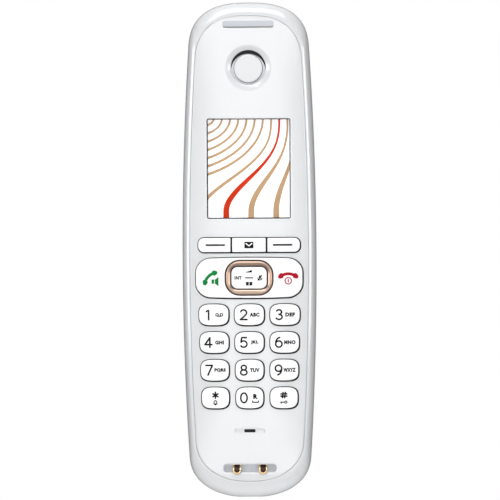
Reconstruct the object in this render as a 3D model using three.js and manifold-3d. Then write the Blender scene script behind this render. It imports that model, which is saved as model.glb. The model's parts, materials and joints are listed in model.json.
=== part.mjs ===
// Cordless telephone handset, in millimetres.
// +Z runs up the handset, -Y is the front with the keys, +X is the right-hand side seen from the front.
// The origin is on the small flat at the bottom end, where the handset stands in its charger.
import * as THREE from "three";
import { mergeVertices } from "three/addons/utils/BufferGeometryUtils.js";
import Module from "manifold-3d";

const wasm = await Module();
wasm.setup();

// Outline seen from the front: two long side arcs closed by superelliptic ends.
const length = 187;
const width = 50.7;
const widestZ = 91;
const sideRadius = 1250;
const seatCut = 0.25;
const lowEnd = { depth: 15.5, power: 2.3 };
const highEnd = { depth: 17, power: 2.6 };

// Depth: the face crown, the rim round it and the back.
const frontDepth = 11;
const crown = 1.6;
const crownAcross = 2.6;
const crownAlong = 6;
const backDepth = 11.9;
const rimSide = 2.95;
const rimLow = 6.2;
const rimHigh = 4.8;
const rimDepth = 7;
const backInset = { side: 12, low: 11, high: 13 };
const backPower = 2.4;

// Walls and gaps.
const wall = 1.6;
const faceWall = 1.5;
const skirtWall = 1;
const lipDepth = 2.4;
const skirtBack = -5;
const seam = 0.15;
const rest = 0.3;
const keyGap = 0.35;
const keyTravel = 0.45;

// Keys.
const keyBase = -7.3;
const flangeThick = 0.35;
const flangeWide = 0.6;
const capProud = 0.65;
const capEdge = 0.5;
const digitHeight = 7.9;
const digitWidthTop = 11.1;
const digitWidthLow = 10.3;
const digitPower = 3.2;
const digitGapTopX = 2.35;
const digitGapLowX = 2.65;
const digitGapZ = 2.58;
const digitLowZ = 37.7;
const digitRows = [
  ["key_star", "key_0", "key_hash"],
  ["key_7", "key_8", "key_9"],
  ["key_4", "key_5", "key_6"],
  ["key_1", "key_2", "key_3"],
];
const rowGap = 2.4;
const rocker = { width: 40.3, height: 15.2, radius: 5 };
const nav = { width: 17.6, height: 12.7, power: 2.9, capWidth: 13.4, capHeight: 8.2, clear: 0.9 };
const softKey = { width: 38.4, middle: 13, height: 5.3, radius: 2.6 };
const softGap = 2.15;

// Display, earpiece and the small openings of the face.
const display = { width: 31.6, height: 37.8, radius: 0.7, gap: 7.3, sunk: 0.1 };
const panel = { margin: 1.3, thick: 1.5, frameWall: 1.5 };
const earpieceFromTop = 24.45;
const dish = { radius: 9, depth: 0.9 };
const earHole = 6.55;
const earDisc = 5.4;
const topSlot = { width: 19.3, height: 2.5, fromTop: 8.1, sunk: 0.9 };
const micSlot = { width: 4.2, height: 1.2, z: 25.2, grooveWidth: 11, grooveDepth: 0.35 };
const contactSlot = { width: 19.8, height: 2.9, z: 10.95 };
const contact = { width: 3, apart: 9.9, thick: 0.35, low: 8.65, high: 12.3, rise: 1.2 };

// Inside.
const mat = { thick: 0.7, gap: 0.6, width: 39, low: 31 };
const domeThick = 0.2;
const board = { thick: 1, low: 15.5, corner: 5, clearance: 0.7 };
const boss = { radius: 2.5, pilot: 1, x: 13, lowX: 13.5, lowZ: 20.5 };
const screw = { headRadius: 1.8, headThick: 1.2, shaftRadius: 0.7, shaftLength: 4.2, hole: 1.2 };
const receiver = { radius: 7.2, thick: 3.4 };
const speaker = { radius: 10, thick: 3.8, z: 141, ring: 1.6, sealThick: 0.6 };
const grille = { slots: 5, width: 13, height: 1.1, pitch: 2.6 };
const cell = { radius: 5.25, length: 43.4, nub: 1.1, nubRadius: 1.9, gap: 1.3 };
const tray = { wall: 1.5, low: 30, floor: 1.2 };
const spring = { length: 2.6, radius: 3.6, tip: 2, wire: 0.35, turns: 3 };
const plate = { size: 8, thick: 0.5 };
const cover = { width: 37, low: 20, high: 93, radius: 6 };
const shield = { width: 24, height: 26, thick: 2.2, z: 118 };
const antenna = { width: 24, height: 4.5, thick: 0.4, fromTop: 15.5, leg: 2.2 };
const mic = { radius: 3, thick: 1.7, boot: 0.8 };

const endSteps = 7;
const sideSteps = 6;

const shellWhite = finish(0xf1f3f5, 0.22, 0);
const keyWhite = finish(0xfafaf8, 0.35, 0);
const copper = finish(0xc9926c, 0.25, 0.9);
const lens = finish(0xf2f2f0, 0.05, 0);
const greyPlastic = finish(0xa9adb0, 0.5, 0);
const darkRubber = finish(0x3a3c3e, 0.8, 0);
const steel = finish(0xb9bcc0, 0.3, 1);
const gold = finish(0xd8a84a, 0.25, 1);
const boardGreen = finish(0x2f6a45, 0.5, 0);
const cellWrap = finish(0x3f78a6, 0.4, 0.1);

function finish(color, roughness, metalness) {
  return new THREE.MeshStandardMaterial({ color, roughness, metalness });
}

// Shape helpers.

/** Half of the width at height z, before the ends close it. */
function sideAt(z) {
  return width / 2 - (z - widestZ) ** 2 / (2 * sideRadius);
}

/** The handset's outline moved in by inset.side, inset.low and inset.high, as [x, z] points. */
function bodyOutline(inset) {
  const low = inset.low - seatCut;
  const high = length - inset.high;
  const right = [];
  const add = (z, share) => right.push(new THREE.Vector2((sideAt(z) - inset.side) * share, z));
  for (let i = 1; i <= endSteps; i++) {
    const turn = (1 - i / endSteps) * Math.PI / 2;
    const up = 1 - Math.sin(turn) ** (2 / lowEnd.power);
    add(low + lowEnd.depth * up, Math.cos(turn) ** (2 / lowEnd.power));
  }
  const straight = high - highEnd.depth - low - lowEnd.depth;
  for (let i = 1; i < sideSteps; i++) {
    add(low + lowEnd.depth + straight * i / sideSteps, 1);
  }
  for (let i = 0; i < endSteps; i++) {
    const turn = i / endSteps * Math.PI / 2;
    const up = 1 - Math.sin(turn) ** (2 / highEnd.power);
    add(high - highEnd.depth * up, Math.cos(turn) ** (2 / highEnd.power));
  }
  const left = right.map((p) => new THREE.Vector2(-p.x, p.y)).reverse();
  return [new THREE.Vector2(0, low), ...right, new THREE.Vector2(0, high), ...left];
}

/** Inset of the face edge, moved in by more. */
function faceInset(more) {
  return { side: rimSide + more, low: rimLow + more, high: rimHigh + more };
}

/** Front of the face at x, z: a crown that falls to one level all round the face's edge. */
function faceY(x, z) {
  const faceLow = rimLow;
  const faceHigh = length - rimHigh;
  const across = Math.min(1, Math.abs(x) / (sideAt(z) - rimSide));
  const along = Math.min(1, Math.abs(2 * z - faceLow - faceHigh) / (faceHigh - faceLow));
  return -frontDepth + crown * (1 - (1 - across ** crownAcross) * (1 - along ** crownAlong));
}

const flat = (y) => () => y;
const proud = (height) => (x, z) => faceY(x, z) - height;

/** Points of a rounded rectangle, with round ends of its own radius left and right. */
function roundedOutline(x, z, wide, high, leftRadius, rightRadius, cornerSteps = 4, edgeSteps = 4) {
  const points = [];
  const corner = (side, up, radius, start) => {
    for (let i = 0; i <= cornerSteps; i++) {
      const turn = start + i / cornerSteps * Math.PI / 2;
      const px = x + side * (wide / 2 - radius) + radius * Math.cos(turn);
      points.push(new THREE.Vector2(px, z + up * (high / 2 - radius) + radius * Math.sin(turn)));
    }
  };
  const edge = (from, to, level) => {
    for (let i = 1; i < edgeSteps; i++) {
      points.push(new THREE.Vector2(from + (to - from) * i / edgeSteps, level));
    }
  };
  const right = x + wide / 2 - rightRadius;
  const left = x - wide / 2 + leftRadius;
  corner(1, -1, rightRadius, -Math.PI / 2);
  corner(1, 1, rightRadius, 0);
  edge(right, left, z + high / 2);
  corner(-1, 1, leftRadius, Math.PI / 2);
  corner(-1, -1, leftRadius, Math.PI);
  edge(left, right, z - high / 2);
  return points;
}

/** Points of a superellipse, the outline of the digit keys and of the ring. */
function softOval(x, z, wide, high, power, steps = 20) {
  const points = [];
  for (let i = 0; i < steps; i++) {
    const turn = i / steps * 2 * Math.PI;
    const [c, s] = [Math.cos(turn), Math.sin(turn)];
    const px = Math.sign(c) * Math.abs(c) ** (2 / power) * wide / 2;
    const pz = Math.sign(s) * Math.abs(s) ** (2 / power) * high / 2;
    points.push(new THREE.Vector2(x + px, z + pz));
  }
  return points;
}

/** A ring of points: an outline in x and z, laid at the height that level gives. */
function ringAt(outline, level) {
  return outline.map((p) => new THREE.Vector3(p.x, level(p.x, p.y), p.y));
}

/** The one-point ring that closes a cap. */
function poleAt(outline, level) {
  const middle = outline.reduce((sum, p) => sum.add(p), new THREE.Vector2()).divideScalar(outline.length);
  return [new THREE.Vector3(middle.x, level(middle.x, middle.y), middle.y)];
}

/** Closed solid through rings of points. It starts and ends on poles, or joins up when loop is true. */
function loft(rings, loop = false) {
  const starts = [];
  const points = rings.flatMap((ring) => {
    starts.push(starts.length ? starts.at(-1) + rings[starts.length - 1].length : 0);
    return ring;
  });
  const faces = [];
  const last = loop ? rings.length : rings.length - 1;
  for (let i = 0; i < last; i++) {
    const next = (i + 1) % rings.length;
    const [a, b] = [rings[i], rings[next]];
    const count = Math.max(a.length, b.length);
    for (let k = 0; k < count; k++) {
      const after = (k + 1) % count;
      const [a0, a1] = a.length > 1 ? [starts[i] + k, starts[i] + after] : [starts[i], starts[i]];
      const [b0, b1] = b.length > 1 ? [starts[next] + k, starts[next] + after] : [starts[next], starts[next]];
      if (a0 !== a1) faces.push(a0, a1, b1);
      if (b0 !== b1) faces.push(a0, b1, b0);
    }
  }
  let volume = 0;
  for (let f = 0; f < faces.length; f += 3) {
    const [a, b, c] = [points[faces[f]], points[faces[f + 1]], points[faces[f + 2]]];
    volume += a.dot(b.clone().cross(c));
  }
  if (volume < 0) faces.reverse();
  const geometry = new THREE.BufferGeometry().setFromPoints(points);
  geometry.setIndex(faces);
  return geometry;
}

/** Straight-sided solid from an outline in x and z, between two depths. */
function slab(outline, front, back) {
  const shape = new THREE.Shape(outline);
  const geometry = new THREE.ExtrudeGeometry(shape, { depth: back - front, bevelEnabled: false });
  return geometry.rotateX(Math.PI / 2).translate(0, back, 0);
}

/** Box between two corners. */
function box(low, high) {
  const size = high.map((value, i) => value - low[i]);
  const middle = high.map((value, i) => (value + low[i]) / 2);
  return new THREE.BoxGeometry(...size).translate(...middle);
}

/** Round solid about a line along Y, from [radius, y] points that start and end on the line. */
function turned(profile, x, z, steps = 16) {
  const points = profile.map(([radius, y]) => new THREE.Vector2(radius, y));
  const geometry = new THREE.LatheGeometry(points, steps).translate(x, 0, z);
  const kept = clean(geometry);
  return signedVolume(kept) < 0 ? flipped(kept) : kept;
}

/** Cylinder about a line along Y. */
function rod(radius, front, back, x, z, steps = 16) {
  return turned([[0, front], [radius, front], [radius, back], [0, back]], x, z, steps);
}

function signedVolume(geometry) {
  const place = geometry.getAttribute("position");
  const index = geometry.getIndex();
  const corner = [new THREE.Vector3(), new THREE.Vector3(), new THREE.Vector3()];
  let volume = 0;
  for (let f = 0; f < index.count; f += 3) {
    corner.forEach((point, k) => point.fromBufferAttribute(place, index.getX(f + k)));
    volume += corner[0].dot(corner[1].clone().cross(corner[2]));
  }
  return volume;
}

function flipped(geometry) {
  geometry.setIndex([...geometry.getIndex().array].reverse());
  return geometry;
}

/** Geometry with shared corners merged and empty triangles left out. */
function clean(geometry) {
  const bare = geometry.clone();
  bare.deleteAttribute("normal");
  bare.deleteAttribute("uv");
  const merged = mergeVertices(bare, 1e-5);
  const faces = [...merged.getIndex().array];
  const kept = [];
  for (let f = 0; f < faces.length; f += 3) {
    const [a, b, c] = faces.slice(f, f + 3);
    if (a !== b && b !== c && c !== a) kept.push(a, b, c);
  }
  merged.setIndex(kept);
  return merged;
}

function solid(geometry) {
  const merged = clean(geometry);
  const vertProperties = new Float32Array(merged.getAttribute("position").array);
  const triVerts = new Uint32Array(merged.getIndex().array);
  return new wasm.Manifold(new wasm.Mesh({ numProp: 3, vertProperties, triVerts }));
}

/** The first geometry with the cuts taken out and the additions joined on. */
function carve(base, { cuts = [], joins = [], keep = null }) {
  let body = base instanceof THREE.BufferGeometry ? solid(base) : base;
  for (const join of joins) body = body.add(solid(join));
  for (const cut of cuts) body = body.subtract(solid(cut));
  if (keep) body = body.intersect(solid(keep));
  const { vertProperties, triVerts } = body.getMesh();
  const geometry = new THREE.BufferGeometry();
  geometry.setAttribute("position", new THREE.BufferAttribute(vertProperties, 3));
  geometry.setIndex(new THREE.BufferAttribute(triVerts, 1));
  return geometry;
}

const handset = new THREE.Group();

function add(name, geometry, material, place = [0, 0, 0], turn = [0, 0, 0]) {
  const mesh = new THREE.Mesh(geometry, material);
  mesh.name = name;
  mesh.position.set(...place);
  mesh.rotation.set(...turn);
  handset.add(mesh);
  return mesh;
}

// Heights that follow from the sizes.
const digitPitchZ = digitHeight + digitGapZ;
const rockerZ = digitLowZ + 3 * digitPitchZ + digitHeight / 2 + rowGap + rocker.height / 2;
const softZ = rockerZ + rocker.height / 2 + softGap + softKey.height / 2;
const displayZ = softZ + softKey.height / 2 + display.gap + display.height / 2;
const earpieceZ = length - earpieceFromTop;
const topSlotZ = length - topSlot.fromTop;
const matFront = keyBase + mat.gap;
const matBack = matFront + mat.thick;
const domeFront = matBack + rest;
const boardFront = domeFront + domeThick + rest;
const boardBack = boardFront + board.thick;
const panelHalf = [display.width / 2 + panel.margin, display.height / 2 + panel.margin];
const frameHalf = panelHalf.map((half) => half + rest + panel.frameWall);
const upperBossZ = displayZ + frameHalf[1] + boss.radius + rest;
const boardHigh = upperBossZ + boss.radius + rest;
const bosses = [
  [-boss.lowX, boss.lowZ],
  [boss.lowX, boss.lowZ],
  [-boss.x, upperBossZ],
  [boss.x, upperBossZ],
];

// Outlines that a piece and its opening share. Each takes the distance that it moves in.
const rockerOutline = (by) => roundedOutline(
  0, rockerZ, rocker.width - 2 * by, rocker.height - 2 * by,
  Math.max(rocker.radius - by, 0.4), Math.max(rocker.radius - by, 0.4), 4, 8);
const ringOutline = (by) => softOval(0, rockerZ, nav.width - 2 * by, nav.height - 2 * by, nav.power);
const navCapOutline = (by) => softOval(0, rockerZ, nav.capWidth - 2 * by, nav.capHeight - 2 * by, nav.power);
const softRowOutline = (by) => roundedOutline(
  0, softZ, softKey.width - 2 * by, softKey.height - 2 * by,
  softKey.radius - by, softKey.radius - by, 4, 6);
const displayOutline = (by) => roundedOutline(
  0, displayZ, display.width - 2 * by, display.height - 2 * by,
  Math.max(display.radius - by, 0.2), Math.max(display.radius - by, 0.2), 2, 6);

/** Centre and width of a digit key: the columns draw in a little towards the bottom. */
function digitPlace(row, column) {
  const up = row / (digitRows.length - 1);
  const wide = digitWidthLow + (digitWidthTop - digitWidthLow) * up;
  const pitch = wide + digitGapLowX + (digitGapTopX - digitGapLowX) * up;
  return { x: (column - 1) * pitch, z: digitLowZ + row * digitPitchZ, wide };
}

function digitOutline(row, column, by) {
  const { x, z, wide } = digitPlace(row, column);
  return softOval(x, z, wide - 2 * by, digitHeight - 2 * by, digitPower, 16);
}

/** A key: a flange behind the face, a straight shaft and a cap with a rounded edge. */
function keyCap(outline, fill = []) {
  const flangeFront = keyBase - flangeThick;
  const inner = fill.map((share) => ringAt(outline(share * digitHeight / 2), proud(capProud)));
  return loft([
    poleAt(outline(0), flat(keyBase)),
    ringAt(outline(-flangeWide), flat(keyBase)),
    ringAt(outline(-flangeWide), flat(flangeFront)),
    ringAt(outline(0), flat(flangeFront)),
    ringAt(outline(0), proud(capProud - capEdge)),
    ringAt(outline(capEdge), proud(capProud)),
    ...inner,
    poleAt(outline(0), proud(capProud)),
  ]);
}

// Casing.

/** Crowned block under the face: front surface set back by sink, edge moved in by more. */
function crownedBlock(more, sink, back) {
  const edge = bodyOutline(faceInset(more));
  const middle = new THREE.Vector2(0, length / 2);
  const shrunk = (share) => edge.map((p) => p.clone().sub(middle).multiplyScalar(share).add(middle));
  const level = proud(-sink);
  const shares = [0.5, 0.75, 0.9, 1];
  return loft([
    [new THREE.Vector3(middle.x, level(middle.x, middle.y), middle.y)],
    ...shares.map((share) => ringAt(shrunk(share), level)),
    ringAt(edge, flat(back)),
    poleAt(edge, flat(back)),
  ]);
}

function frontShell() {
  const outer = crownedBlock(seam, 0, skirtBack);
  const hollow = crownedBlock(seam + skirtWall, faceWall, skirtBack + 1);
  const through = [-frontDepth - 2, skirtBack];
  const hole = (outline) => slab(outline(-keyGap), ...through);
  const edgeY = faceY(0, topSlotZ);
  const bossSolids = bosses.map(([x, z]) => {
    return rod(boss.radius, faceY(x, z) + faceWall / 2, boardFront - rest, x, z, 12);
  });
  const pilots = bosses.map(([x, z]) => rod(boss.pilot, faceY(x, z) + faceWall, boardFront, x, z, 8));
  const digits = digitRows.flatMap((names, row) => {
    return names.map((name, column) => hole((by) => digitOutline(row, column, by)));
  });
  const dishFloor = faceY(0, earpieceZ) + dish.depth;
  const dishTool = turned([
    [0, -frontDepth - 2], [dish.radius + 1.6, -frontDepth - 2], [dish.radius, faceY(0, earpieceZ)],
    [dish.radius - 1.4, dishFloor - 0.25], [dish.radius - 2.6, dishFloor], [0, dishFloor],
  ], 0, earpieceZ, 24);
  const slotTool = roundedOutline(0, topSlotZ, topSlot.width, topSlot.height, 1.1, 1.1, 3, 2);
  const micTool = roundedOutline(0, micSlot.z, micSlot.width, micSlot.height, 0.4, 0.4, 2, 1);
  const grooveTool = roundedOutline(0, micSlot.z, micSlot.grooveWidth, micSlot.height, 0.5, 0.5, 2, 2);
  const grooveFloor = faceY(0, micSlot.z) + micSlot.grooveDepth;
  const baseTool = roundedOutline(0, contactSlot.z, contactSlot.width, contactSlot.height, 1.2, 1.2, 3, 2);
  const notches = [-1, 1].map((side) => {
    const half = contact.width / 2 + rest;
    const x = side * contact.apart / 2;
    return box([x - half, through[0], contact.low - rest], [x + half, skirtBack, contactSlot.z]);
  });
  const body = solid(outer).subtract(solid(hollow));
  return carve(body, {
    joins: bossSolids,
    cuts: [
      ...pilots,
      ...digits,
      hole(rockerOutline),
      hole(softRowOutline),
      slab(displayOutline(-seam), ...through),
      dishTool,
      rod(earHole, through[0], skirtBack, 0, earpieceZ, 24),
      slab(slotTool, edgeY - 3, skirtBack),
      slab(micTool, ...through),
      slab(grooveTool, through[0], grooveFloor),
      slab(baseTool, ...through),
      ...notches,
    ],
  });
}

/** Levels of the outer casing, from the rim's inner edge over the widest line to the flat back. */
function casingLevels() {
  const levels = [];
  const rimFront = -frontDepth + crown;
  const steps = 4;
  const start = Math.asin(seam / rimSide);
  for (let i = 0; i <= steps; i++) {
    const turn = start + (Math.PI / 2 - start) * i / steps;
    const share = 1 - Math.sin(turn);
    const y = rimFront + rimDepth * (1 - Math.cos(turn));
    levels.push({ y, side: rimSide * share, low: rimLow * share, high: rimHigh * share });
  }
  const widestY = rimFront + rimDepth;
  for (let i = 1; i <= steps; i++) {
    const turn = i / steps * Math.PI / 2;
    const share = 1 - Math.cos(turn) ** (2 / backPower);
    const y = widestY + (backDepth - widestY) * Math.sin(turn) ** (2 / backPower);
    const { side, low, high } = backInset;
    levels.push({ y, side: side * share, low: low * share, high: high * share });
  }
  return levels;
}

function casingWall() {
  const levels = casingLevels();
  const ring = (level, y, more) => {
    const inset = { side: level.side + more, low: level.low + more, high: level.high + more };
    return ringAt(bodyOutline(inset), flat(y));
  };
  const [first, last] = [levels[0], levels.at(-1)];
  const outer = loft([
    poleAt(bodyOutline(first), flat(first.y)),
    ...levels.map((level) => ring(level, level.y, 0)),
    poleAt(bodyOutline(last), flat(last.y)),
  ]);
  const lipY = -frontDepth + crown + lipDepth;
  const behindLip = levels.filter((level) => level.y > lipY && level !== last);
  const mouth = bodyOutline(faceInset(-seam));
  const hollow = loft([
    poleAt(mouth, flat(first.y - 1)),
    ringAt(mouth, flat(first.y - 1)),
    ringAt(mouth, flat(lipY)),
    ring(behindLip[0], lipY, wall),
    ...behindLip.map((level) => ring(level, Math.min(level.y, backDepth - wall - 0.5), wall)),
    ring(last, backDepth - wall, wall),
    poleAt(bodyOutline(last), flat(backDepth - wall)),
  ]);
  const floor = box([-width, -backDepth * 2, -seatCut * 4], [width, backDepth * 2, 0]);
  return solid(outer).subtract(solid(hollow)).subtract(solid(floor));
}

const coverOutline = (by) => roundedOutline(
  0, (cover.low + cover.high) / 2, cover.width - 2 * by, cover.high - cover.low - 2 * by,
  cover.radius - by, cover.radius - by, 4, 1);
const behind = [backDepth / 4, backDepth + 1];

function rearShell(casing) {
  const slots = [];
  for (let i = 0; i < grille.slots; i++) {
    const z = speaker.z + (i - (grille.slots - 1) / 2) * grille.pitch;
    const outline = roundedOutline(0, z, grille.width, grille.height, 0.5, 0.5, 2, 1);
    slots.push(slab(outline, ...behind));
  }
  return carve(casing, { cuts: [slab(coverOutline(-seam), ...behind), ...slots] });
}

function batteryCover(casing) {
  return carve(casing, { keep: slab(coverOutline(seam), ...behind) });
}

const casing = casingWall();
add("rear_shell", rearShell(casing), shellWhite);
add("battery_cover", batteryCover(casing), shellWhite);
add("front_shell", frontShell(), shellWhite);

// Display: the panel clears the inside of the crowned face, and the window reaches back to it.

const panelFront = faceY(panelHalf[0], displayZ) + faceWall + rest;
const lensBack = panelFront - rest;

function displayWindow() {
  const level = proud(-display.sunk);
  return loft([
    poleAt(displayOutline(0), flat(lensBack)),
    ringAt(displayOutline(0), flat(lensBack)),
    ringAt(displayOutline(0), level),
    ringAt(displayOutline(display.width / 4), level),
    poleAt(displayOutline(0), level),
  ]);
}

add("display_window", displayWindow(), lens);
add("lcd_panel", box(
  [-panelHalf[0], panelFront, displayZ - panelHalf[1]],
  [panelHalf[0], panelFront + panel.thick, displayZ + panelHalf[1]]), greyPlastic);
add("lcd_frame", carve(box(
  [-frameHalf[0], panelFront + rest, displayZ - frameHalf[1]],
  [frameHalf[0], boardFront - rest, displayZ + frameHalf[1]]), {
  cuts: [box(
    [-panelHalf[0] - rest, panelFront, displayZ - panelHalf[1] - rest],
    [panelHalf[0] + rest, panelFront + panel.thick + rest, displayZ + panelHalf[1] + rest])],
}), greyPlastic);

// Earpiece: a disc in its hole, on a flange behind the face, and the receiver behind it.

const earFront = faceY(0, earpieceZ) + dish.depth * 0.45;
const earFlange = faceY(0, earpieceZ) + faceWall + 2 * rest;
add("earpiece_cap", turned([
  [0, earFront - 0.15], [earDisc * 0.6, earFront - 0.05], [earDisc - 0.35, earFront + 0.05],
  [earDisc, earFront + 0.4], [earDisc, earFlange], [earHole + 1, earFlange],
  [earHole + 1, earFlange + 0.7], [0, earFlange + 0.7],
], 0, earpieceZ, 24), keyWhite);
const receiverFront = earFlange + 0.7 + rest;
add("earpiece_receiver", turned([
  [0, receiverFront], [receiver.radius - 0.6, receiverFront], [receiver.radius, receiverFront + 0.6],
  [receiver.radius, receiverFront + receiver.thick], [0, receiverFront + receiver.thick],
], 0, earpieceZ), steel);

// The insert of the notch near the top end.

const slotInsetOutline = roundedOutline(
  0, topSlotZ, topSlot.width - 2 * rest, topSlot.height - 2 * rest, 0.8, 0.8, 3, 2);
const slotFloor = faceY(0, topSlotZ) + topSlot.sunk;
add("slot_insert", slab(slotInsetOutline, slotFloor, slotFloor + faceWall), greyPlastic);

// Keys.

digitRows.forEach((names, row) => names.forEach((name, column) => {
  add(name, keyCap((by) => digitOutline(row, column, by)), keyWhite);
}));

/** One of the three keys in the row under the display. Only the row's two ends are round. */
function softKeyOutline(side, by) {
  const half = softKey.middle / 2;
  const [low, high] = side === 0 ? [-half, half] : [half + keyGap, softKey.width / 2];
  const wide = high - low;
  const round = Math.max(softKey.radius - by, 0.3);
  const square = 0.3;
  const middle = (low + high) / 2 * (side || 1);
  const [leftRadius, rightRadius] = [side < 0 ? round : square, side > 0 ? round : square];
  return roundedOutline(middle, softZ, wide - 2 * by, softKey.height - 2 * by, leftRadius, rightRadius, 3, 3);
}

/** A key of the row: it has no flange at its sides, where its neighbours are. */
function softKeyCap(side) {
  const outline = (by) => softKeyOutline(side, by);
  return loft([
    poleAt(outline(0), flat(keyBase)),
    ringAt(outline(0), flat(keyBase)),
    ringAt(outline(0), proud(capProud - capEdge)),
    ringAt(outline(capEdge), proud(capProud)),
    poleAt(outline(0), proud(capProud)),
  ]);
}

add("soft_key_left", softKeyCap(-1), keyWhite);
add("message_key", softKeyCap(0), keyWhite);
add("soft_key_right", softKeyCap(1), keyWhite);
add("talk_end_key", carve(keyCap(rockerOutline, [0.6, 1.4]), {
  cuts: [slab(ringOutline(-keyGap), -frontDepth - 3, 0)],
}), keyWhite);

// Four-way ring with its centre key, on a pad that carries both.

const navBack = keyBase - 1.3;
const navRise = capProud + 0.35;
const bandWide = (nav.width - nav.capWidth) / 2 - keyGap;

function navRing() {
  return loft([
    ringAt(ringOutline(0), flat(navBack)),
    ringAt(ringOutline(0), proud(capProud - 0.1)),
    ringAt(ringOutline(bandWide * 0.25), proud(navRise - 0.08)),
    ringAt(ringOutline(bandWide * 0.55), proud(navRise)),
    ringAt(ringOutline(bandWide), proud(capProud)),
    ringAt(ringOutline(bandWide), flat(navBack)),
  ], true);
}

function navCap() {
  return loft([
    poleAt(navCapOutline(0), flat(navBack)),
    ringAt(navCapOutline(0), flat(navBack)),
    ringAt(navCapOutline(0), proud(capProud - 0.2)),
    ringAt(navCapOutline(capEdge), proud(capProud + 0.1)),
    poleAt(navCapOutline(0), proud(capProud + 0.2)),
  ]);
}

const navPadFront = navBack + nav.clear;
add("nav_ring", navRing(), copper);
add("nav_cap", navCap(), keyWhite);
add("nav_pad", slab(ringOutline(0.5), navPadFront, keyBase), darkRubber);

// Keypad layers and the main board.

const matHigh = softZ + softKey.height / 2 + 1;
const layerOutline = (by) => roundedOutline(
  0, (mat.low + matHigh) / 2, mat.width - 2 * by, matHigh - mat.low - 2 * by, 3, 3, 3, 1);
add("keypad_mat", slab(layerOutline(0), matFront, matBack), greyPlastic);
add("dome_sheet", slab(layerOutline(0.5), domeFront, domeFront + domeThick), steel);

const boardHalf = sideAt(board.low) - rimSide - seam - skirtWall - board.clearance;
const boardOutline = roundedOutline(
  0, (board.low + boardHigh) / 2, 2 * boardHalf, boardHigh - board.low, board.corner, board.corner, 4, 1);
add("main_board", carve(slab(boardOutline, boardFront, boardBack), {
  cuts: [
    ...bosses.map(([x, z]) => rod(screw.hole, boardFront - 1, boardBack + 1, x, z, 8)),
    rod(receiver.radius + rest, boardFront - 1, boardBack + 1, 0, earpieceZ, 20),
  ],
}), boardGreen);

const headFront = boardBack + rest;
bosses.forEach(([x, z], i) => {
  add(`board_screw_${i + 1}`, turned([
    [0, headFront + screw.headThick], [screw.headRadius * 0.8, headFront + screw.headThick],
    [screw.headRadius, headFront + screw.headThick / 2], [screw.headRadius, headFront],
    [screw.shaftRadius, headFront], [screw.shaftRadius, headFront - screw.shaftLength],
    [0, headFront - screw.shaftLength - 0.4],
  ], x, z, 10), steel);
});

const shieldFront = boardBack + rest;
add("rf_shield", carve(box(
  [-shield.width / 2, shieldFront, shield.z - shield.height / 2],
  [shield.width / 2, shieldFront + shield.thick, shield.z + shield.height / 2]), {
  cuts: [box(
    [-shield.width / 2 + 0.4, shieldFront - 1, shield.z - shield.height / 2 + 0.4],
    [shield.width / 2 - 0.4, shieldFront + shield.thick - 0.4, shield.z + shield.height / 2 - 0.4])],
}), steel);

const antennaZ = length - antenna.fromTop;
add("antenna", carve(box(
  [-antenna.width / 2, boardFront, antennaZ],
  [antenna.width / 2, boardFront + antenna.thick, antennaZ + antenna.height]), {
  joins: [-1, 1].map((side) => {
    const x = side * antenna.width / 3;
    return box([x - 0.8, boardFront, antennaZ], [x + 0.8, boardFront + antenna.leg, antennaZ + antenna.thick]);
  }),
}), gold);

// Microphone in its rubber boot.

const bootFront = faceY(0, micSlot.z) + faceWall + rest;
const bootRadius = mic.radius + rest + mic.boot;
add("microphone_boot", carve(rod(bootRadius, bootFront, boardFront - rest, 0, micSlot.z), {
  cuts: [
    rod(mic.radius + rest, bootFront + mic.boot, boardFront, 0, micSlot.z),
    rod(micSlot.height / 2, bootFront - 1, boardFront, 0, micSlot.z, 12),
  ],
}), darkRubber);
const micFront = bootFront + mic.boot + rest;
add("microphone", rod(mic.radius, micFront, micFront + mic.thick, 0, micSlot.z), steel);

// Charging contacts on their carrier.

const carrierFront = faceY(0, contactSlot.z) + faceWall + rest;
add("contact_carrier", carve(box(
  [-contactSlot.width / 2 - 1, carrierFront, contact.low - 1],
  [contactSlot.width / 2 + 1, boardFront, contactSlot.z + contactSlot.height / 2 + 1.2]), {
  keep: slab(bodyOutline(faceInset(seam + skirtWall + rest)), -frontDepth, backDepth),
}), greyPlastic);

/** A leaf spring: an arc that bulges out of the slot, with a constant thickness. */
function contactStrip() {
  const half = (contact.high - contact.low) / 2;
  const radius = (half ** 2 + contact.rise ** 2) / (2 * contact.rise);
  const sweep = Math.asin(half / radius);
  const shape = new THREE.Shape();
  shape.absarc(0, 0, radius, -sweep, sweep, false);
  shape.absarc(0, 0, radius - contact.thick, sweep, -sweep, true);
  const options = { depth: contact.width, bevelEnabled: false, curveSegments: 8 };
  const geometry = new THREE.ExtrudeGeometry(shape, options);
  geometry.translate(-radius, 0, -contact.width / 2);
  return geometry.rotateX(Math.PI / 2).rotateZ(-Math.PI / 2);
}

const contactZ = (contact.low + contact.high) / 2;
const contactFront = carrierFront - rest - contact.rise;
["contact_left", "contact_right"].forEach((name, i) => {
  add(name, contactStrip(), gold, [(i - 0.5) * contact.apart, contactFront, contactZ]);
});

// Hands-free speaker behind its grille.

const sealBack = backDepth - wall - rest;
const speakerBack = sealBack - speaker.sealThick - rest;
add("speaker_seal", carve(rod(speaker.radius, sealBack - speaker.sealThick, sealBack, 0, speaker.z, 20), {
  cuts: [rod(speaker.radius - speaker.ring, 0, backDepth, 0, speaker.z, 20)],
}), darkRubber);
add("handsfree_speaker", turned([
  [0, speakerBack - 0.8], [speaker.radius * 0.6, speakerBack - 0.4], [speaker.radius - 1, speakerBack],
  [speaker.radius, speakerBack], [speaker.radius, speakerBack - speaker.thick * 0.5],
  [speaker.radius * 0.7, speakerBack - speaker.thick], [0, speakerBack - speaker.thick],
], 0, speaker.z, 20), steel);

// Two round cells in a tray with their contacts.

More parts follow.
